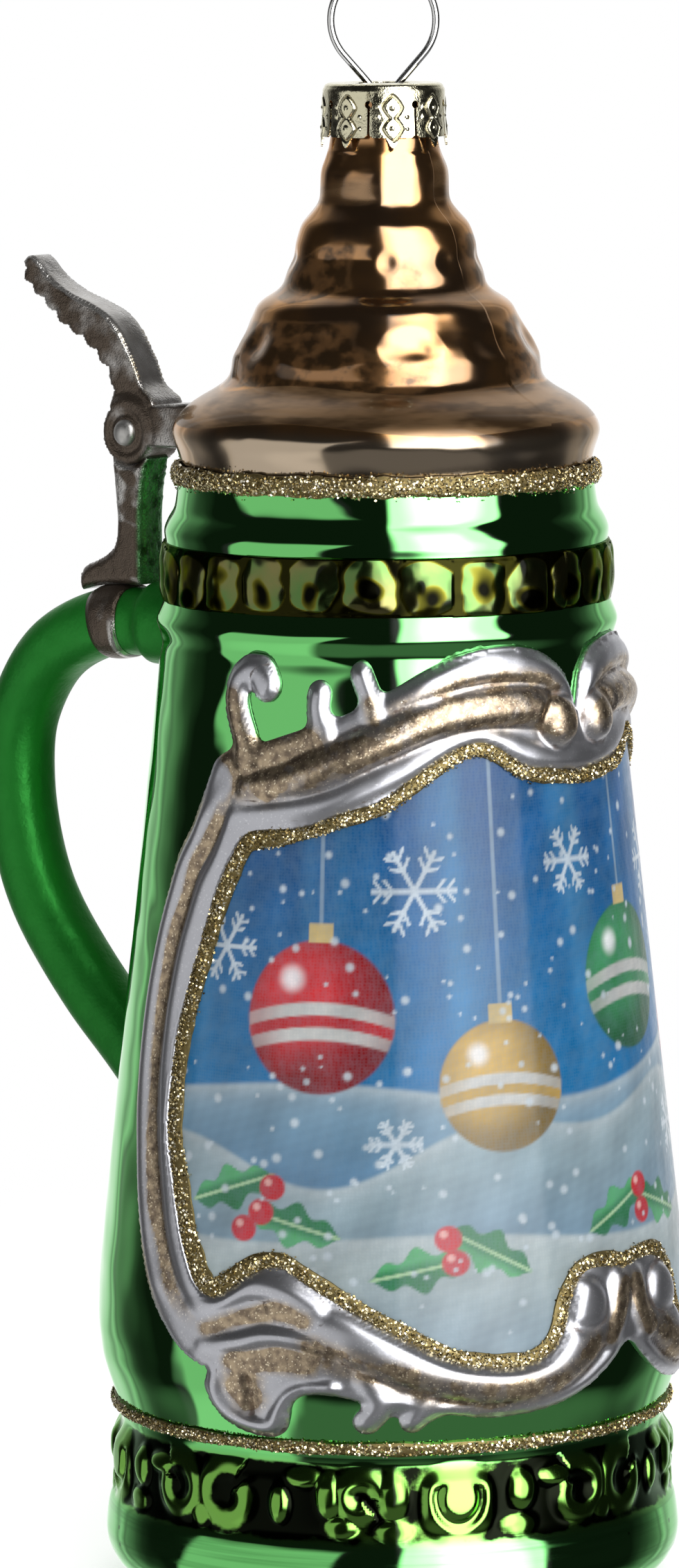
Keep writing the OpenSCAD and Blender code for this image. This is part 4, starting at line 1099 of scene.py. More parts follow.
# %% Sheet of the picture
FILM_LIFT = 0.24
FILM_PITCH = 0.2
s, z = sheet(np.arange(-45.5, 45.51, FILM_PITCH), np.arange(24.5, 82.5, FILM_PITCH))
s_film, z_film, faces, edges, _ = cut_sheet(s, z, inside_distance(picture_edge, s, z))
film_top = on_round(wall_radius(z_film) + FILM_LIFT, s_film / ARC, z_film)
film_bottom = on_round(wall_radius(z_film) + 0.02, s_film / ARC, z_film)
film_points, film_faces = shell(film_top, film_bottom, faces, edges)
print("film", len(film_points), "points")


# %% Colours of the picture
draw = np.random.default_rng(7)
print_colour = np.zeros((len(s_film), 3))


def lay(colour, mask):
    """Lays a colour over the print where a mask is 1."""
    share = np.clip(mask, 0, 1)[:, None]
    print_colour[:] = print_colour * (1 - share) + np.asarray(colour) * share


def spot_mask(at_s, at_z, radius, soft=0.3):
    return ease(np.hypot(s_film - at_s, z_film - at_z), radius, radius - soft)


def leaf_mask(at_s, at_z, length, width, turn):
    c, d = math.cos(math.radians(turn)), math.sin(math.radians(turn))
    u = ((s_film - at_s) * c + (z_film - at_z) * d) / length
    v = (-(s_film - at_s) * d + (z_film - at_z) * c) / width
    lobes = (1 - u**2) * (0.78 + 0.22 * np.cos(u * 9.4))
    return ease(lobes - np.abs(v), 0, 0.12), v


lay((0.003, 0.095, 0.29), np.ones(len(s_film)))
lay((0.002, 0.035, 0.15), 0.5 * np.clip(0.5 + ripple(23, s_film * 0.35, z_film * 0.12), 0, 1))
lay((0.012, 0.18, 0.42), 0.8 * ease(z_film, 78, 48))
beams = ripple(21, s_film * 0.55 + 0.05 * z_film) * 0.5 + ripple(22, s_film * 1.4) * 0.2
lay((0.06, 0.25, 0.48), 0.5 * np.clip(beams + 0.25, 0, 1) * ease(z_film, 44, 60))
for base, swing, tone, seed in (
    (52, 2.6, (0.16, 0.29, 0.41), 31), (46, 3.2, (0.28, 0.38, 0.43), 32), (38, 2.8, (0.39, 0.46, 0.47), 33),
):
    top = base + swing * ripple(seed, s_film * 0.13, waves=4)
    depth = top - z_film
    lay(tone, ease(depth, -0.35, 0.35))
    lay(np.array(tone) * (0.62, 0.74, 0.9), 0.8 * ease(depth, 2, 11) * (depth > 0))
    lay((0.52, 0.58, 0.60), 0.8 * np.exp(-np.clip(depth, 0, 50) / 1.2) * ease(depth, -0.35, 0.35))
RED, GOLD, GREEN = (0.62, 0.025, 0.03), (0.62, 0.40, 0.10), (0.05, 0.30, 0.11)
for at_s, at_z, radius, tone in (
    (-29, 57, 7.2, RED), (-12, 50.5, 6.2, GOLD), (5, 59, 7.0, GREEN), (21, 52, 6.4, RED), (35, 59, 5.2, GOLD),
):
    lay((0.30, 0.40, 0.50), 0.7 * ease(np.abs(s_film - at_s), 0.32, 0.08) * (z_film > at_z + radius))
    off_s, off_z = (s_film - at_s) / radius, (z_film - at_z) / radius
    away = np.hypot(off_s, off_z)
    ball = ease(away, 1.0, 0.95)
    lay(np.array(tone) * 0.35, ball)
    lay(tone, ball * ease(np.hypot(off_s + 0.25, off_z - 0.25), 1.15, 0.3))
    stripe = np.abs(off_z + 0.18 * off_s**2 + 0.05)
    lay((0.58, 0.58, 0.56), ball * ease(stripe, 0.26, 0.22) * (0.55 + 0.45 * ease(away, 1, 0.4)))
    lay(np.array(tone) * 0.8, ball * ease(stripe, 0.09, 0.06))
    lay((0.98, 0.98, 1), 0.85 * ball * ease(np.hypot(off_s + 0.38, off_z - 0.48), 0.24, 0.05))
    ferrule = (np.abs(s_film - at_s) < 1.15) * ease(np.abs(z_film - at_z - radius - 0.45), 0.95, 0.8)
    lay((0.62, 0.47, 0.2), ferrule)
for at_s, at_z, turn in (
    (-37, 41, 20), (-31, 38, 165), (-20, 34, 12), (-14, 35.5, 150), (0, 38, 25), (7, 37.5, 160), (26, 37, 15),
    (33, 39, 150),
):
    leaf, v = leaf_mask(at_s, at_z, 4.6, 2.3, turn)
    lay((0.03, 0.19, 0.07), leaf)
    lay((0.10, 0.40, 0.16), leaf * ease(v, 0.0, 0.5))
    lay((0.42, 0.62, 0.36), leaf * ease(np.abs(v), 0.1, 0.03))
for at_s, at_z in (
    (-34, 39), (-33, 41.3), (-35.6, 37.4), (-17, 34.6), (-17.6, 36.8), (3.6, 37.2), (3.4, 39.6), (29.6, 38.2),
    (29.4, 40.5),
):
    lay((0.55, 0.02, 0.03), spot_mask(at_s, at_z, 1.35))
    lay((0.95, 0.55, 0.5), 0.8 * spot_mask(at_s - 0.4, at_z + 0.45, 0.5))
for at_s, at_z, size in (
    (-39, 63, 3.4), (-20, 68.5, 4.2), (-3, 70.5, 3.2), (14, 69, 3.8), (28, 70, 3.0), (-22, 45.5, 2.4),
    (13, 44, 2.6),
):
    off_s, off_z = s_film - at_s, z_film - at_z
    away, angle = np.hypot(off_s, off_z), np.degrees(np.arctan2(off_z, off_s))
    arm = np.abs((angle + 30) % 60 - 30)
    across_arm, along_arm = away * np.sin(np.radians(arm)), away * np.cos(np.radians(arm))
    leaned = along_arm - across_arm * 0.8
    barb = np.minimum(np.abs(leaned - 0.5 * size), np.abs(leaned - 0.75 * size))
    flake_shape = np.maximum(ease(across_arm, 0.3, 0.12), ease(barb, 0.28, 0.1) * (across_arm < 0.26 * size))
    lay((0.66, 0.74, 0.80), 0.85 * flake_shape * (away < size))
SNOW = 420
snow = [draw.uniform(*span, SNOW) for span in ((-45, 45), (26, 82), (0.2, 0.62))]
for at_s, at_z, radius in zip(*snow):
    lay((0.62, 0.70, 0.76), 0.8 * ease(np.hypot(s_film - at_s, z_film - at_z), radius, radius * 0.3))
unsteady = 0.09 * ripple(24, s_film * 1.3, z_film * 0.7) + 0.05 * ripple(25, s_film * 4, z_film * 3)
print_colour *= (1 + unsteady)[:, None]
print("print: mean colour", print_colour.mean(0).round(2))

# %% Lacquered print
lacquered_print, tree, shader = new_finish("lacquered print")
ink = put(tree, "ShaderNodeAttribute", attribute_name="ink").outputs["Color"]
place = place_in(tree)
weave = cells(place, 3400.0, 0.25)
grain = noise(place, 900.0, 3.0)
dots = plus(spread(weave, 0.2, 0.6, 0.0, 0.09), spread(grain, 0.3, 0.7, 0.0, 0.1))
ink = mix(dots, ink, (0.20, 0.30, 0.38))
rough = spread(grain, 0.3, 0.7, 0.28, 0.42)
feed(
    shader, Base_Color=ink, Roughness=rough, Specular_IOR_Level=0.1, Coat_Weight=0.35,
    Coat_Roughness=0.05, Normal=uneven(tree, 220.0, 0.2, 0.15, 0.001),
)
film = add_piece(
    "picture_film", film_points, film_faces, "stein", "picture_print", ["picture_panel"], lacquered_print,
)
layer = film.data.attributes.new("ink", "FLOAT_COLOR", "POINT")
ink_values = np.ones((2 * len(print_colour), 4), np.float32)
ink_values[:, :3] = np.tile(print_colour, (2, 1))
layer.data.foreach_set("color", ink_values.ravel())

# %% [markdown]
# ## Glitter
# Gold glitter is shaken over wet glue: under the lid, round the picture and above the foot. A bump
# texture looks flat there, so each line is a low bed of glue with thousands of small flakes, each
# a shallow pyramid with its flat face up, tilted at random. All flakes of a line are one mesh.

# %% Glitter finish
gold_glitter, tree, shader = new_finish("gold glitter")
chance = put(tree, "ShaderNodeNewGeometry").outputs["Random Per Island"]
flake_kind = marked(tree, "flake")
gold = mix(spread(chance, 0.25, 0.75, step="LINEAR"), (0.38, 0.29, 0.115), (0.82, 0.72, 0.45))
pale_share = sums("GREATER_THAN", chance, 0.86)
gold = mix(pale_share, gold, (0.98, 0.93, 0.77))
dull = sums("LESS_THAN", chance, 0.2)
gold = mix(dull, gold, (0.12, 0.085, 0.03))
place = place_in(tree)
glue = mix(noise(place, 2500.0), (0.09, 0.065, 0.022), (0.28, 0.22, 0.09))
rough = minus(0.5, times(flake_kind, 0.24))
feed(shader, Base_Color=mix(flake_kind, glue, gold), Metallic=0.85, Roughness=rough)


# %% Flakes and beds
def scatter(line, half_width, count, seed, stray=0.06):
    """Random places beside a closed line on the unrolled wall, and which way they lie off it."""
    draw = np.random.default_rng(seed)
    closed = closed_line(line)
    run = run_along(closed)
    at = draw.uniform(0, run[-1], count)
    s, z = at_run(at, run, closed).T
    ds, dz = at_run(at + 0.3, run, closed).T - (s, z)
    length = np.maximum(np.hypot(ds, dz), 1e-6)
    half = np.interp(at, run, np.append(half_width, half_width[0]))
    off = (1 + 0.12 * ripple(seed, at * 0.8)) * draw.uniform(-1, 1, count)
    off = np.where(draw.random(count) < stray, off * 1.35, off)
    out = np.stack([-dz / length, ds / length], -1)
    return s + out[:, 0] * off * half, z + out[:, 1] * off * half, off, out


def flakes(places, facing, size, seed, tilt=0.5):
    """Shallow pyramids at places: a flat square on top and a point below."""
    draw = np.random.default_rng(seed)
    n = len(places)
    normal = unit(facing + draw.normal(0, tilt, (n, 3)))
    flat = unit(np.cross(normal, draw.normal(size=(n, 3))))
    other = np.cross(normal, flat)
    half = size / 2 * draw.uniform(0.7, 1.25, (n, 1))
    corners = [places + half * (a * flat + b * other * 0.8) for a, b in ((1, 0), (0, 1), (-1, 0), (0, -1))]
    points = np.stack([*corners, places - normal * 0.12], 1).reshape(-1, 3)
    first = np.arange(n)[:, None] * 5
    faces = (first + np.arange(4)).tolist()
    for k in range(4):
        faces += (first + np.array([(k + 1) % 4, k, 4])).tolist()
    return points, faces


def glitter_piece(name, node, bed, bed_faces, places, facing, seed):
    points, faces = flakes(places, facing, FLAKE_SIZE, seed)
    faces = bed_faces + [[k + len(bed) for k in face] for face in faces]
    add_piece(
        name, np.vstack([bed, points]), faces, "stein", "gold_glitter", [node], gold_glitter, crease=20,
        flake=np.repeat([0.0, 1.0], [len(bed), len(points)]),
    )


FLAKE_SIZE = 0.27
BED_TALL = 0.42
BED = np.array([
    (-1, -0.15), (-0.95, 0.18), (-0.6, 0.36), (0, BED_TALL), (0.6, 0.36), (0.95, 0.18), (1, -0.15),
])


def glitter_bed(s, z, out_s, out_z, half_width, lift, seed):
    """A low rounded strip along a closed line."""
    step = np.arange(len(s))
    edge = 1 + 0.1 * ripple(seed, step * 0.35) + 0.06 * ripple(seed + 1, step * 1.1)
    off = BED[:, :1] * half_width * edge
    bed_s, bed_z = s + out_s * off, z + out_z * off
    radius = wall_radius(bed_z) + lift + BED[:, 1:]
    points = on_round(radius, bed_s / ARC, bed_z).reshape(-1, 3)
    return points, grid_quads(len(BED), len(s), ring=True)


def glitter_line(name, node, line, half_width, lift, count, seed):
    closed = np.vstack([line[-1:], line, line[:1]])
    way = unit(closed[2:] - closed[:-2])
    bed, bed_faces = glitter_bed(line[:, 0], line[:, 1], way[:, 1], -way[:, 0], half_width, lift, seed)
    s, z, off, out = scatter(line, half_width, count, seed)
    draw = np.random.default_rng(seed + 5)
    bed_top = wall_radius(z) + lift + BED_TALL * np.sqrt(np.clip(1 - off**2, 0.05, 1))
    places = on_round(bed_top + draw.uniform(0.02, 0.16, count), s / ARC, z)
    along = on_round(1.0, s / ARC + 90, 0.0) * out[:, :1] + np.array([0, 0, 1]) * out[:, 1:]
    facing = on_round(1.0, s / ARC, 0.0) + 0.8 * np.clip(off, -1, 1)[:, None] * along
    glitter_piece(name, node, bed, bed_faces, places, facing, seed + 9)


def ring_line(height, steps=360):
    return np.stack([np.linspace(180, -180, steps, False) * ARC, np.full(steps, height)], -1)


def even_line(line, step=0.5):
    closed = closed_line(line)
    run = run_along(closed)
    return at_run(np.arange(0, run[-1] - step / 2, step), run, closed)


picture_line = even_line(picture_edge)
picture_half = glitter_half(picture_line[:, 0])
glitter_line("glitter_picture", "picture_glitter", picture_line, picture_half, FILM_LIFT, 12500, 41)
glitter_line("glitter_lid", "lid_glitter", ring_line(105.15), np.full(360, 0.95), 0.05, 8000, 42)
glitter_line("glitter_foot", "foot_glitter", ring_line(17.1), np.full(360, 0.6), 0.05, 6200, 43)

# %% [markdown]
# ## Handle
# The handle is a C-shaped bar with a round collar at the wall and a small spur on its back, painted satin
# green. A curve with a bevel would give a plain bar; a section swept in code can also flare into the
# collar, carry the spur and press the soft crease that runs along both cheeks.

# %% Line of the handle
HANDLE_TOP, HANDLE_ROOT = 89.27, 21.1
HANDLE_REACH, HANDLE_DROP = 25.0, 46.4
HANDLE_CURVE = [
    (0, 0), (0.27, 0), (0.55, 0.01), (0.81, 0.08), (0.97, 0.21), (1, 0.35), (0.955, 0.5), (0.85, 0.63),
    (0.63, 0.78), (0.4, 0.9),
]
handle_stations = [(HANDLE_ROOT + a * HANDLE_REACH, HANDLE_TOP - b * HANDLE_DROP) for a, b in HANDLE_CURVE]
handle_foot = HANDLE_TOP - HANDLE_DROP
handle_stations.append((float(wall_radius(handle_foot)), handle_foot))
handle_line = curve_through(handle_stations, 14)
HANDLE_SUNK = 1.2
last_step = handle_line[-1] - handle_line[-2]
handle_line = np.vstack([handle_line[:1] - (HANDLE_SUNK, 0), handle_line, handle_line[-1:] + last_step * 2])


def ways(line):
    return unit(np.gradient(line, axis=0))


handle_run = run_along(handle_line) - HANDLE_SUNK
handle_way = ways(handle_line)
print("handle", round(float(handle_run[-1]), 1), "mm along its middle")


# %% Skin of the handle
BAR_HALF = 3.3
BAR_SIDES = 64
BAR_SQUARE = 2.3


def bar_rings(steps, grow, spurred=True):
    """Rings of points round the bar at some steps of its line."""
    a = np.linspace(0, math.tau, BAR_SIDES, False)[None]
    run, way, at = handle_run[steps][:, None], handle_way[steps], handle_line[steps]
    flare = 1 + 0.22 * (1 - ease(run, 6.5, 8.0)) + 0.05 * ease(run, 62, 72)
    square = (np.abs(np.cos(a)) ** BAR_SQUARE + np.abs(np.sin(a)) ** BAR_SQUARE) ** (-1 / BAR_SQUARE)
    x = square * np.sin(a) * (BAR_HALF * flare + grow)
    n = square * np.cos(a) * (BAR_HALF * flare + grow)
    if spurred:
        spur = ease(run, 27.5, 33.6) * (1 - ease(run, 33.8, 34.4))
        n = n + 1.7 * spur * np.clip(np.cos(a), 0, 1) ** 3
        cheek = np.abs(np.degrees(np.arctan2(np.abs(np.sin(a)), np.cos(a))) - 128)
        crease = 0.05 * bump(cheek / 26) * ease(run, 12, 20)
        x, n = x * (1 - crease / BAR_HALF), n * (1 - crease / BAR_HALF)
    y = at[:, :1] - way[:, 1:] * n
    z = at[:, 1:] + way[:, :1] * n
    return np.stack([x, y, z], -1)


handle_rings = bar_rings(np.arange(len(handle_line)), 0.0)
handle_points, handle_faces = closed_tube(handle_rings.reshape(-1, 3), BAR_SIDES)

satin_green, tree, shader = new_finish("satin green paint")
worn = effect(tree, wash, Scale=130.0, Stretch=1.0, Cover=0.15)
place = place_in(tree)
green = mix(noise(place, 90.0, 4.0), (0.006, 0.145, 0.012), (0.019, 0.285, 0.029))
green = mix(times(worn["Mask"], 0.3), green, (0.04, 0.30, 0.06))
rough = spread(worn["Streak"], 0.3, 0.7, 0.4, 0.52)
feed(
    shader, Base_Color=green, Metallic=0.5, Roughness=rough, Specular_IOR_Level=0.3,
    Normal=uneven(tree, 350.0, 0.3, 0.2, 0.0006),
)
add_piece("handle_bar", handle_points, handle_faces, "stein", "green_paint", ["handle"], satin_green)

# %% [markdown]
# ## Strap, post, thumb lift and rivet
# These are small castings with an antique finish: dark brown in the hollows, worn silver on the edges. The
# strap is two rows of the handle's own rings, grown outwards. The post and the lift are plates with rounded
# edges, cut from a grid by their outline, as a jeweller saws them from sheet.

# %% Antique casting
antique, tree, shader = new_finish("antique casting")
stain = effect(tree, wash, Scale=230.0, Stretch=1.0, Recess=minus(0.5, marked(tree, "worn")), Cover=0.25)
silver = mix(stain["Streak"], (0.30, 0.28, 0.25), (0.64, 0.63, 0.62))
metal = mix(stain["Mask"], silver, (0.105, 0.080, 0.060))
moss = mix(spread(stain["Streak"], 0.3, 0.55), (0.03, 0.10, 0.03), (0.13, 0.36, 0.14))
metal = mix(marked(tree, "paint"), metal, moss)
# Gold along the lift's rounded inner edge: gilt, with a painted highlight where that edge catches the light
gilt_and_highlight = times(marked(tree, "gilt_and_highlight"), spread(stain["Streak"], 0.4, 0.55))
metal = mix(gilt_and_highlight, metal, (0.78, 0.66, 0.42))
rough = piled(0.2, (stain["Mask"], 0.16))
even = effect(tree, waver, Scale=900.0, Fine=0.5)
sand = times(even["Height"], spread(marked(tree, "worn"), 0.4, 0.8, 1.0, 0.12))
feed(
    shader, Base_Color=metal, Metallic=0.75, Roughness=rough,
    Normal=raised(sand, 0.3, 0.0005),
)


def mark_casting(piece, worn, paint=0.0, gilt_and_highlight=0.0):
    """Says where a casting is worn bright, painted green, or gilt with a painted highlight."""
    for name, values in (("worn", worn), ("paint", paint), ("gilt_and_highlight", gilt_and_highlight)):
        mark(piece, name, np.broadcast_to(values, len(piece.data.vertices)))


# %% Strap
strap_steps = np.flatnonzero((handle_run > 9.6) & (handle_run < 13.6))
strap_grow = 0.05 + 0.35 * np.sqrt(1 - np.linspace(-0.97, 0.97, len(strap_steps)) ** 2)
strap_rings = [bar_rings(strap_steps[k : k + 1], g, False)[0] for k, g in enumerate(strap_grow)]
strap_rings += [bar_rings(strap_steps[-1:], -0.2, False)[0], bar_rings(strap_steps[:1], -0.2, False)[0]]
strap_points = np.vstack(strap_rings)
strap_faces = grid_quads(len(strap_rings), BAR_SIDES, ring=True)
strap = add_piece("strap", strap_points, strap_faces, "stein", "antique_metal", ["handle_band"], antique)
worn_rows = np.repeat([0.8, 0.5] + [0.0] * len(strap_steps), BAR_SIDES)
mark_casting(strap, 0.02 + worn_rows * ease(strap_points[:, 2], 91, 87))


# %% Plates
PLATE_PITCH = 0.16
SIDE_ROWS = 6
KNUCKLE = np.array([30.0, 107.6])


def plate(field, y, z, half_width, rounding):
    """A plate in the handle's plane, cut by a field, with rounded edges and a closed border."""
    y_kept, z_kept, quads, edges, used = cut_sheet(y, z, field)
    depth = np.clip(field[used] / rounding, 0, 1)
    half = half_width(y_kept, z_kept) if callable(half_width) else half_width
    face_x = half - rounding * (1 - np.sqrt(1 - (1 - depth) ** 2))
    n = len(y_kept)
    points = [np.stack([face_x, y_kept, z_kept], -1), np.stack([-face_x, y_kept, z_kept], -1)]
    faces = quads.tolist() + (quads[:, ::-1] + n).tolist()
    rim = np.unique(edges)
    number = np.full(n, -1)
    number[rim] = np.arange(len(rim))
    rows = [rim] + [2 * n + k * len(rim) + np.arange(len(rim)) for k in range(SIDE_ROWS)] + [rim + n]
    for k in range(SIDE_ROWS):
        share = 1 - 2 * (k + 1) / (SIDE_ROWS + 1)
        points.append(np.stack([face_x[rim] * share, y_kept[rim], z_kept[rim]], -1))
    for upper, lower in zip(rows[:-1], rows[1:]):
        a, b = number[edges[:, 1]], number[edges[:, 0]]
        faces += np.stack([upper[a], upper[b], lower[b], lower[a]], -1).tolist()
    return np.vstack(points), faces


def point_normals(piece):
    values = np.zeros(len(piece.data.vertices) * 3)
    piece.data.vertex_normals.foreach_get("vector", values)
    return values.reshape(-1, 3)


def off_knuckle(y, z):
    return np.hypot(y - KNUCKLE[0], z - KNUCKLE[1])


# %% Post
POST_INSIDE, POST_OUTSIDE, POST_FOOT = 28.8, 31.7, 36.7
SHOULDER, POST_HEAD = 104.55, 106.1
POST_EDGE = [
    (0.97, 0), (1, 0.06), (0.97, 0.12), (0.8, 0.19), (0.45, 0.245), (0.16, 0.31), (0.03, 0.4), (0, 0.5),
    (0, 0.6),
]
saddle = bar_rings(np.arange(len(handle_line)), 0.45, False)[:, 0, 1:]


def saddle_top(y):
    return float(np.interp(y, saddle[:90, 0], saddle[:90, 1]))


foot_top = saddle_top(POST_FOOT)
post_rise = SHOULDER - foot_top
post_foot = [(y, saddle_top(y) - 0.15) for y in np.linspace(POST_INSIDE, POST_FOOT, 12)]
post_back = [(POST_OUTSIDE + 0.25 + a * 4.75, foot_top + b * post_rise) for a, b in POST_EDGE]
post_back += [(POST_OUTSIDE + 0.7, SHOULDER), (POST_OUTSIDE + 0.8, POST_HEAD)]
post_front = [
    (POST_INSIDE - 0.8, POST_HEAD), (POST_INSIDE - 0.7, SHOULDER),
    (POST_INSIDE - 0.25, foot_top + 0.82 * post_rise), (POST_INSIDE, foot_top + 0.6 * post_rise),
]
post_outline = np.vstack([post_foot, curve_through(post_back, 5), curve_through(post_front, 5)])
y, z = sheet(np.arange(27, 37.6, PLATE_PITCH), np.arange(91.5, 106.8, PLATE_PITCH))
post_field = np.minimum(inside_distance(post_outline, y, z), off_knuckle(y, z) - 2.96)
post_points, post_faces = plate(post_field, y, z, 2.05, 0.95)
post = add_piece(
    "post_casting", post_points, post_faces, "stein", "antique_metal", ["hinge_post"], antique, crease=50,
)
x, y, z = post_points.T
face_x, face_y, _ = point_normals(post).T
patchy = 0.3 * np.clip(ripple(77, y * 1.6, z * 1.3, x), 0, 1)
mark_casting(post, 0.03 + patchy + 0.3 * ease(np.abs(face_x), 0.8, 0.3), paint=ease(-face_y, 0.45, 0.8))

# %% Thumb lift
LEVER_REACH, LEVER_H = 13.9, 16.7
LEVER_INSIDE = [
    (-0.176, 0.088), (-0.232, 0.176), (-0.111, 0.273), (-0.065, 0.361), (0.009, 0.473), (0.093, 0.581),
    (0.209, 0.673), (0.371, 0.735), (0.575, 0.795), (0.75, 0.88), (0.87, 0.975), (0.93, 0.995),
    (0.985, 0.955),
]
LEVER_OUTSIDE = [
    (0.995, 0.92), (0.99, 0.88), (0.95, 0.83), (0.774, 0.713), (0.604, 0.6), (0.397, 0.503), (0.237, 0.376),
    (0.172, 0.268), (0.172, 0.059),
]


def notched(line, pitch, depth):
    """A line with small scallops along it, as on the edge of a leaf."""
    line = curve_through(line, 24)
    run = run_along(line)
    way = ways(line)
    inward = np.stack([way[:, 1], -way[:, 0]], -1)
    return line + inward * depth * (1 - np.abs(np.sin(np.pi * run / pitch)))[:, None]


lever_inside = curve_through(KNUCKLE + np.array(LEVER_INSIDE) * (LEVER_REACH, LEVER_H), 6)
lever_outside = notched(KNUCKLE + np.array(LEVER_OUTSIDE) * (LEVER_REACH, LEVER_H), 2.1, 0.45)
lever = np.vstack([lever_inside, lever_outside])
arm = [(17.3, 112.4), (20.5, 111.1), (22.5, 110.7), (25.1, 110.5), (30, 110.2), (30, 106.35), (17.3, 106.35)]
y, z = sheet(np.arange(16.8, 44.4, PLATE_PITCH), np.arange(104.2, 124.8, PLATE_PITCH))
lever_field = inside_distance(lever, y, z)
arm_field = inside_distance(arm, y, z)
knuckle_field = 3.0 - off_knuckle(y, z)
off_lid = y - np.interp(z, lid_heights, lid_radii) + 0.15
lift_field = np.minimum(np.maximum.reduce([lever_field, arm_field, knuckle_field]), off_lid)


def lift_half(y, z):
    taper = 2.0 - 0.5 * ease(z, 116, 124)
    away = off_knuckle(y, z)
    on_knuckle = ease(away, 4.0, 2.9)
    on_arm = ease(y, 29, 26) * ease(z, 112.5, 111)
    return taper + np.maximum(on_knuckle, on_arm) * (2.5 - taper) - 0.18 * bump((away - 1.85) / 0.55)


lift_points, lift_faces = plate(lift_field, y, z, lift_half, 0.5)
lift = add_piece(
    "lift_casting", lift_points, lift_faces, "stein", "antique_metal", ["thumb_lift"], antique, crease=60,
)
x, _, z = lift_points.T
face_x, face_y, face_z = point_normals(lift).T
thumb_side = ease(face_z - 0.6 * face_y, 0.25, 0.7) * ease(z, 111, 113.5)
rubbed = 0.5 * thumb_side * (0.9 + 0.5 * ripple(71, x * 0.5, z * 0.7))
edges = 0.3 * ease(np.abs(face_x), 0.9, 0.5) * ease(face_z, -0.4, 0.1)
# Gold on the rounded inner edge facing the mug: gilt and a painted highlight
inner_edge = bump((np.abs(face_x) - 0.6) / 0.35) * ease(-face_y, 0.2, 0.5)
mark_casting(lift, 0.1 + rubbed + edges, gilt_and_highlight=inner_edge * bump((z - 114.5) / 5))

# %% Rivet
RIVET_SIDES = 40
dome = np.radians(np.arange(4, 91, 6))
half_line = np.stack([2.5 + 0.8 * np.cos(dome), 1.3 * np.sin(dome)], -1)
half_line = np.vstack([half_line, [(2.3, 1.25), (2.2, 0.8)]])
rivet_line = np.vstack([half_line * (-1, 1), half_line[::-1]])
turn = np.linspace(0, math.tau, RIVET_SIDES, False)
rivet_points = np.stack([
    np.repeat(rivet_line[:, :1], RIVET_SIDES, 1),
    KNUCKLE[0] + rivet_line[:, 1:] * np.cos(turn),
    KNUCKLE[1] + rivet_line[:, 1:] * np.sin(turn),
], -1)
rivet_points, rivet_faces = closed_tube(rivet_points.reshape(-1, 3), RIVET_SIDES)
worn_silver, tree, shader = new_finish("worn silver")
darkened = effect(tree, wash, Scale=900.0, Stretch=1.0, Cover=0.22)
metal = mix(darkened["Mask"], (0.50, 0.49, 0.47), (0.20, 0.17, 0.14))
feed(shader, Base_Color=metal, Metallic=0.85, Roughness=spread(darkened["Streak"], 0.3, 0.7, 0.3, 0.48))
add_piece(
    "rivet_domes", rivet_points, rivet_faces, "stein", "rivet_metal", ["hinge_rivet"], worn_silver, crease=50,
)

# %% [markdown]
# ## Crown cap
# The cap is stamped from thin champagne-gold sheet: eight panels with a slit between each pair, an eyelet at
# the slit's end, a small point below and an embossed figure of two loops on each panel. One grid
# runs from the hole in the top over the corner and down the skirt; slits, eyelets and points are cut from it.

# %% Cap
CAP_TOP, CAP_LOW, CAP_R, CAP_HOLE, CAP_TURN = 141.45, 135.55, 5.85, 2.4, -21
CAP_PANELS, CAP_SHEET, CAP_CORNER = 8, 0.3, 0.8
CAP_COLUMNS, CAP_PITCH = 512, 0.075
# Run from the hole to where the slits may begin, and to where the embossing does
PLAIN_RUN, SKIRT_RUN = 3.2, 3.3
STAMPED_IN = 0.13
corner = np.radians(np.arange(0, 91, 10))
corner_line = (CAP_R, CAP_TOP) + CAP_CORNER * (np.stack([np.sin(corner), np.cos(corner)], -1) - 1)
cap_path = np.vstack([
    [(CAP_HOLE, CAP_TOP), (4.2, CAP_TOP)], corner_line,
    [(CAP_R, CAP_LOW + 2.95), (CAP_R + 0.25, CAP_LOW - 0.06)],
])
cap_run = run_along(cap_path)
turn, run = sheet(round_columns(CAP_COLUMNS), np.arange(0, cap_run[-1] + 0.01, CAP_PITCH))
cap_z = np.interp(run, cap_run, cap_path[:, 1])
panel_turn = np.mod(turn, 360 / CAP_PANELS) - 180 / CAP_PANELS
panel_mm = np.radians(panel_turn) * CAP_R
edge_mm = math.pi / CAP_PANELS * CAP_R - np.abs(panel_mm)
slit_top = CAP_TOP - 1.9
slit = np.where(cap_z > slit_top, -1.0, 0.11 - edge_mm)
eyelet = 0.36 - np.hypot(edge_mm, cap_z - slit_top)
lobes = 0.95 - 0.93 * bump(panel_mm / 0.7) ** 0.7 + 0.2 * ease(edge_mm, 0.5, 0.1)
lower = cap_z - (CAP_LOW + np.clip(lobes, 0.02, 1.3))
field = np.minimum.reduce([-slit, -eyelet, lower])
field = np.where(run < PLAIN_RUN, 1.0, field)
arc = np.radians(turn) * CAP_R
arc_kept, run_kept, faces, edges, used = cut_sheet(arc, run, field, looped=True)
print("cap panels", CAP_PANELS, "points of one face", len(arc_kept))

# %% Embossing of the cap
LOBE_HALF, LOBE_POWER = 1.15, 1.3
# Small bosses of a panel: across, up and radius
CAP_BOSSES = [
    (0, 0.92, 0.32), (0, -0.92, 0.32), (1.4, 0.1, 0.26), (-1.4, 0.1, 0.26), (1.4, -1.0, 0.22),
    (-1.4, 1.0, 0.22),
]
r_kept, z_kept = at_run(run_kept, cap_run, cap_path).T
slope = unit(at_run(run_kept + 0.05, cap_run, cap_path) - at_run(run_kept - 0.05, cap_run, cap_path))
across_panel = panel_mm[used]
up_panel = z_kept - (CAP_LOW + 2.75)


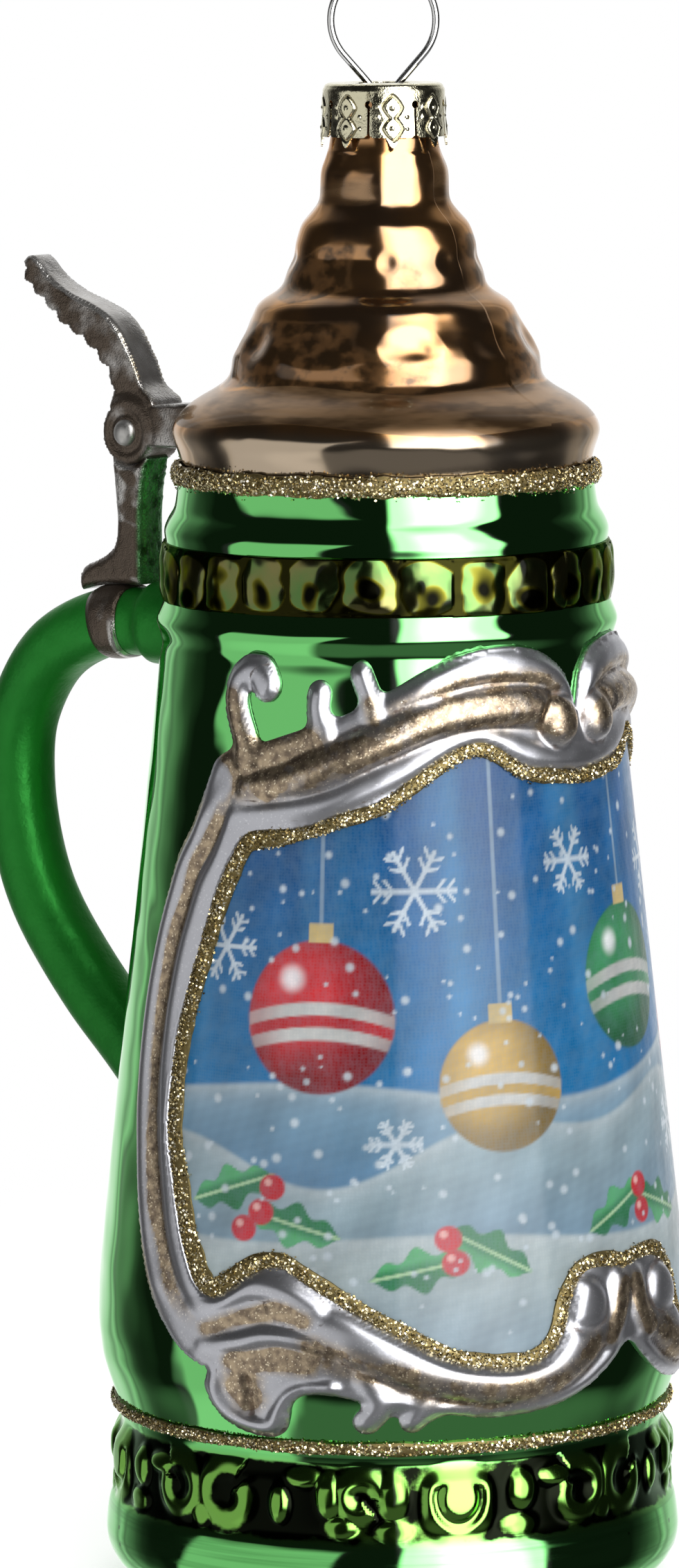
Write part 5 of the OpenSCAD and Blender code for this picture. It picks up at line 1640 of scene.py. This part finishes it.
def lobe(middle):
    """Distance off a pointed loop of the embossed figure, as a share of its size."""
    up = np.abs((up_panel - middle) / LOBE_HALF)
    return (np.abs(across_panel) ** LOBE_POWER + up**LOBE_POWER) ** (1 / LOBE_POWER) - 1


figure = np.minimum(lobe(0.95), lobe(-0.95))
groove = bump(figure / 0.22)
emboss = 0.1 * ease(figure, 0.1, -0.3) - 0.14 * groove
for at_x, at_z, size in CAP_BOSSES:
    emboss = emboss + 0.12 * bump(np.hypot(across_panel - at_x, up_panel - at_z) / size)
on_skirt = run_kept > SKIRT_RUN
emboss = emboss * on_skirt + 0.05 * bump((r_kept - 3.4) / 0.5) * (run_kept < 3)
out_r, out_z = -slope[:, 1], slope[:, 0]
angle_kept = arc_kept / CAP_R * 180 / math.pi + CAP_TURN
cap_outer = on_round(
    r_kept + out_r * (emboss - STAMPED_IN), angle_kept, z_kept + out_z * (emboss - STAMPED_IN * on_skirt),
)
cap_inner = on_round(r_kept - out_r * CAP_SHEET, angle_kept, z_kept - out_z * CAP_SHEET)
cap_points, cap_faces = shell(cap_outer, cap_inner, faces[:, ::-1], edges[:, ::-1])

champagne, tree, shader = new_finish("champagne gold")
# Darker in the embossed grooves and beside the slits, where the deep mark is high
darkened = effect(tree, wash, Scale=700.0, Stretch=0.5, Recess=marked(tree, "deep"), Cover=0.05)
place = place_in(tree)
gold = mix(noise(place, 350.0), (0.60, 0.56, 0.38), (0.76, 0.72, 0.53))
gold = mix(times(darkened["Mask"], 0.75), gold, (0.20, 0.16, 0.08))
rough = spread(darkened["Streak"], 0.3, 0.7, 0.1, 0.22)
feed(shader, Base_Color=gold, Metallic=1.0, Roughness=rough, Normal=uneven(tree, 900.0, 0.3, 0.2, 0.0004))
deep = np.maximum(0.45 * ease(edge_mm[used], 0.5, 0.1), 0.75 * groove) * on_skirt
add_piece(
    "crown_cap", cap_points, cap_faces, "cap", "cap_gold", ["cap"], champagne, crease=60,
    deep=np.tile(deep, 2),
)

# %% [markdown]
# ## Hanger
# A piece of bright spring wire: two legs that spread in the neck, a waist where it passes the cap and
# a round loop above, turned to face the camera. A bevelled curve would do; a swept ring of points
# gives a closed mesh straight away.

# %% Hanger
LOOP_Z, LOOP_R, LEAVE = 147.25, 4.9, 40
WIRE_R, WIRE_SIDES = 0.34, 20
WAIST_HALF, LEG_HALF, LEG_LOW = 1.25, 3.25, 118.45
LOOP_TURN = CAMERA_AZIMUTH
leave = math.radians(LEAVE)
waist_z = LOOP_Z - LOOP_R * math.sin(leave) - (LOOP_R * math.cos(leave) - WAIST_HALF) / math.tan(leave)
loop_turns = np.radians(np.arange(180 + LEAVE, -LEAVE - 1, -4))
loop_line = np.stack([LOOP_R * np.cos(loop_turns), LOOP_Z + LOOP_R * np.sin(loop_turns)], -1)
waist = np.array([
    (-LEG_HALF, LEG_LOW), (-WAIST_HALF - 0.12, waist_z - 1.2), (-WAIST_HALF, waist_z - 0.3),
    (-WAIST_HALF - 0.1, waist_z + 0.2), (-WAIST_HALF - 0.6, waist_z + 0.8),
])
wire = np.vstack([waist, loop_line, waist[::-1] * (-1, 1)])
way = ways(wire)
sides = np.linspace(0, math.tau, WIRE_SIDES, False)
out = WIRE_R * np.cos(sides)[None]
wire_x = wire[:, :1] - way[:, 1:] * out
wire_y = np.repeat(WIRE_R * np.sin(sides)[None], len(wire), 0)
wire_z = wire[:, 1:] + way[:, :1] * out
wire_points = np.stack([
    wire_x * math.cos(LOOP_TURN) - wire_y * math.sin(LOOP_TURN),
    wire_x * math.sin(LOOP_TURN) + wire_y * math.cos(LOOP_TURN),
    wire_z,
], -1)
wire_points, wire_faces = closed_tube(wire_points.reshape(-1, 3), WIRE_SIDES)
spring_wire, tree, shader = new_finish("bright spring wire")
drawn = effect(tree, wash, Scale=900.0, Stretch=0.8, Cover=0.2)
steel = mix(drawn["Mask"], (0.66, 0.66, 0.65), (0.42, 0.42, 0.41))
feed(
    shader, Base_Color=steel, Metallic=1.0, Roughness=spread(drawn["Streak"], 0.3, 0.7, 0.1, 0.2),
    Specular_Tint=(0.1, 0.1, 0.1, 1),
)
add_piece("wire_loop", wire_points, wire_faces, "hanger", "hanger_wire", ["hanger"], spring_wire, crease=60)
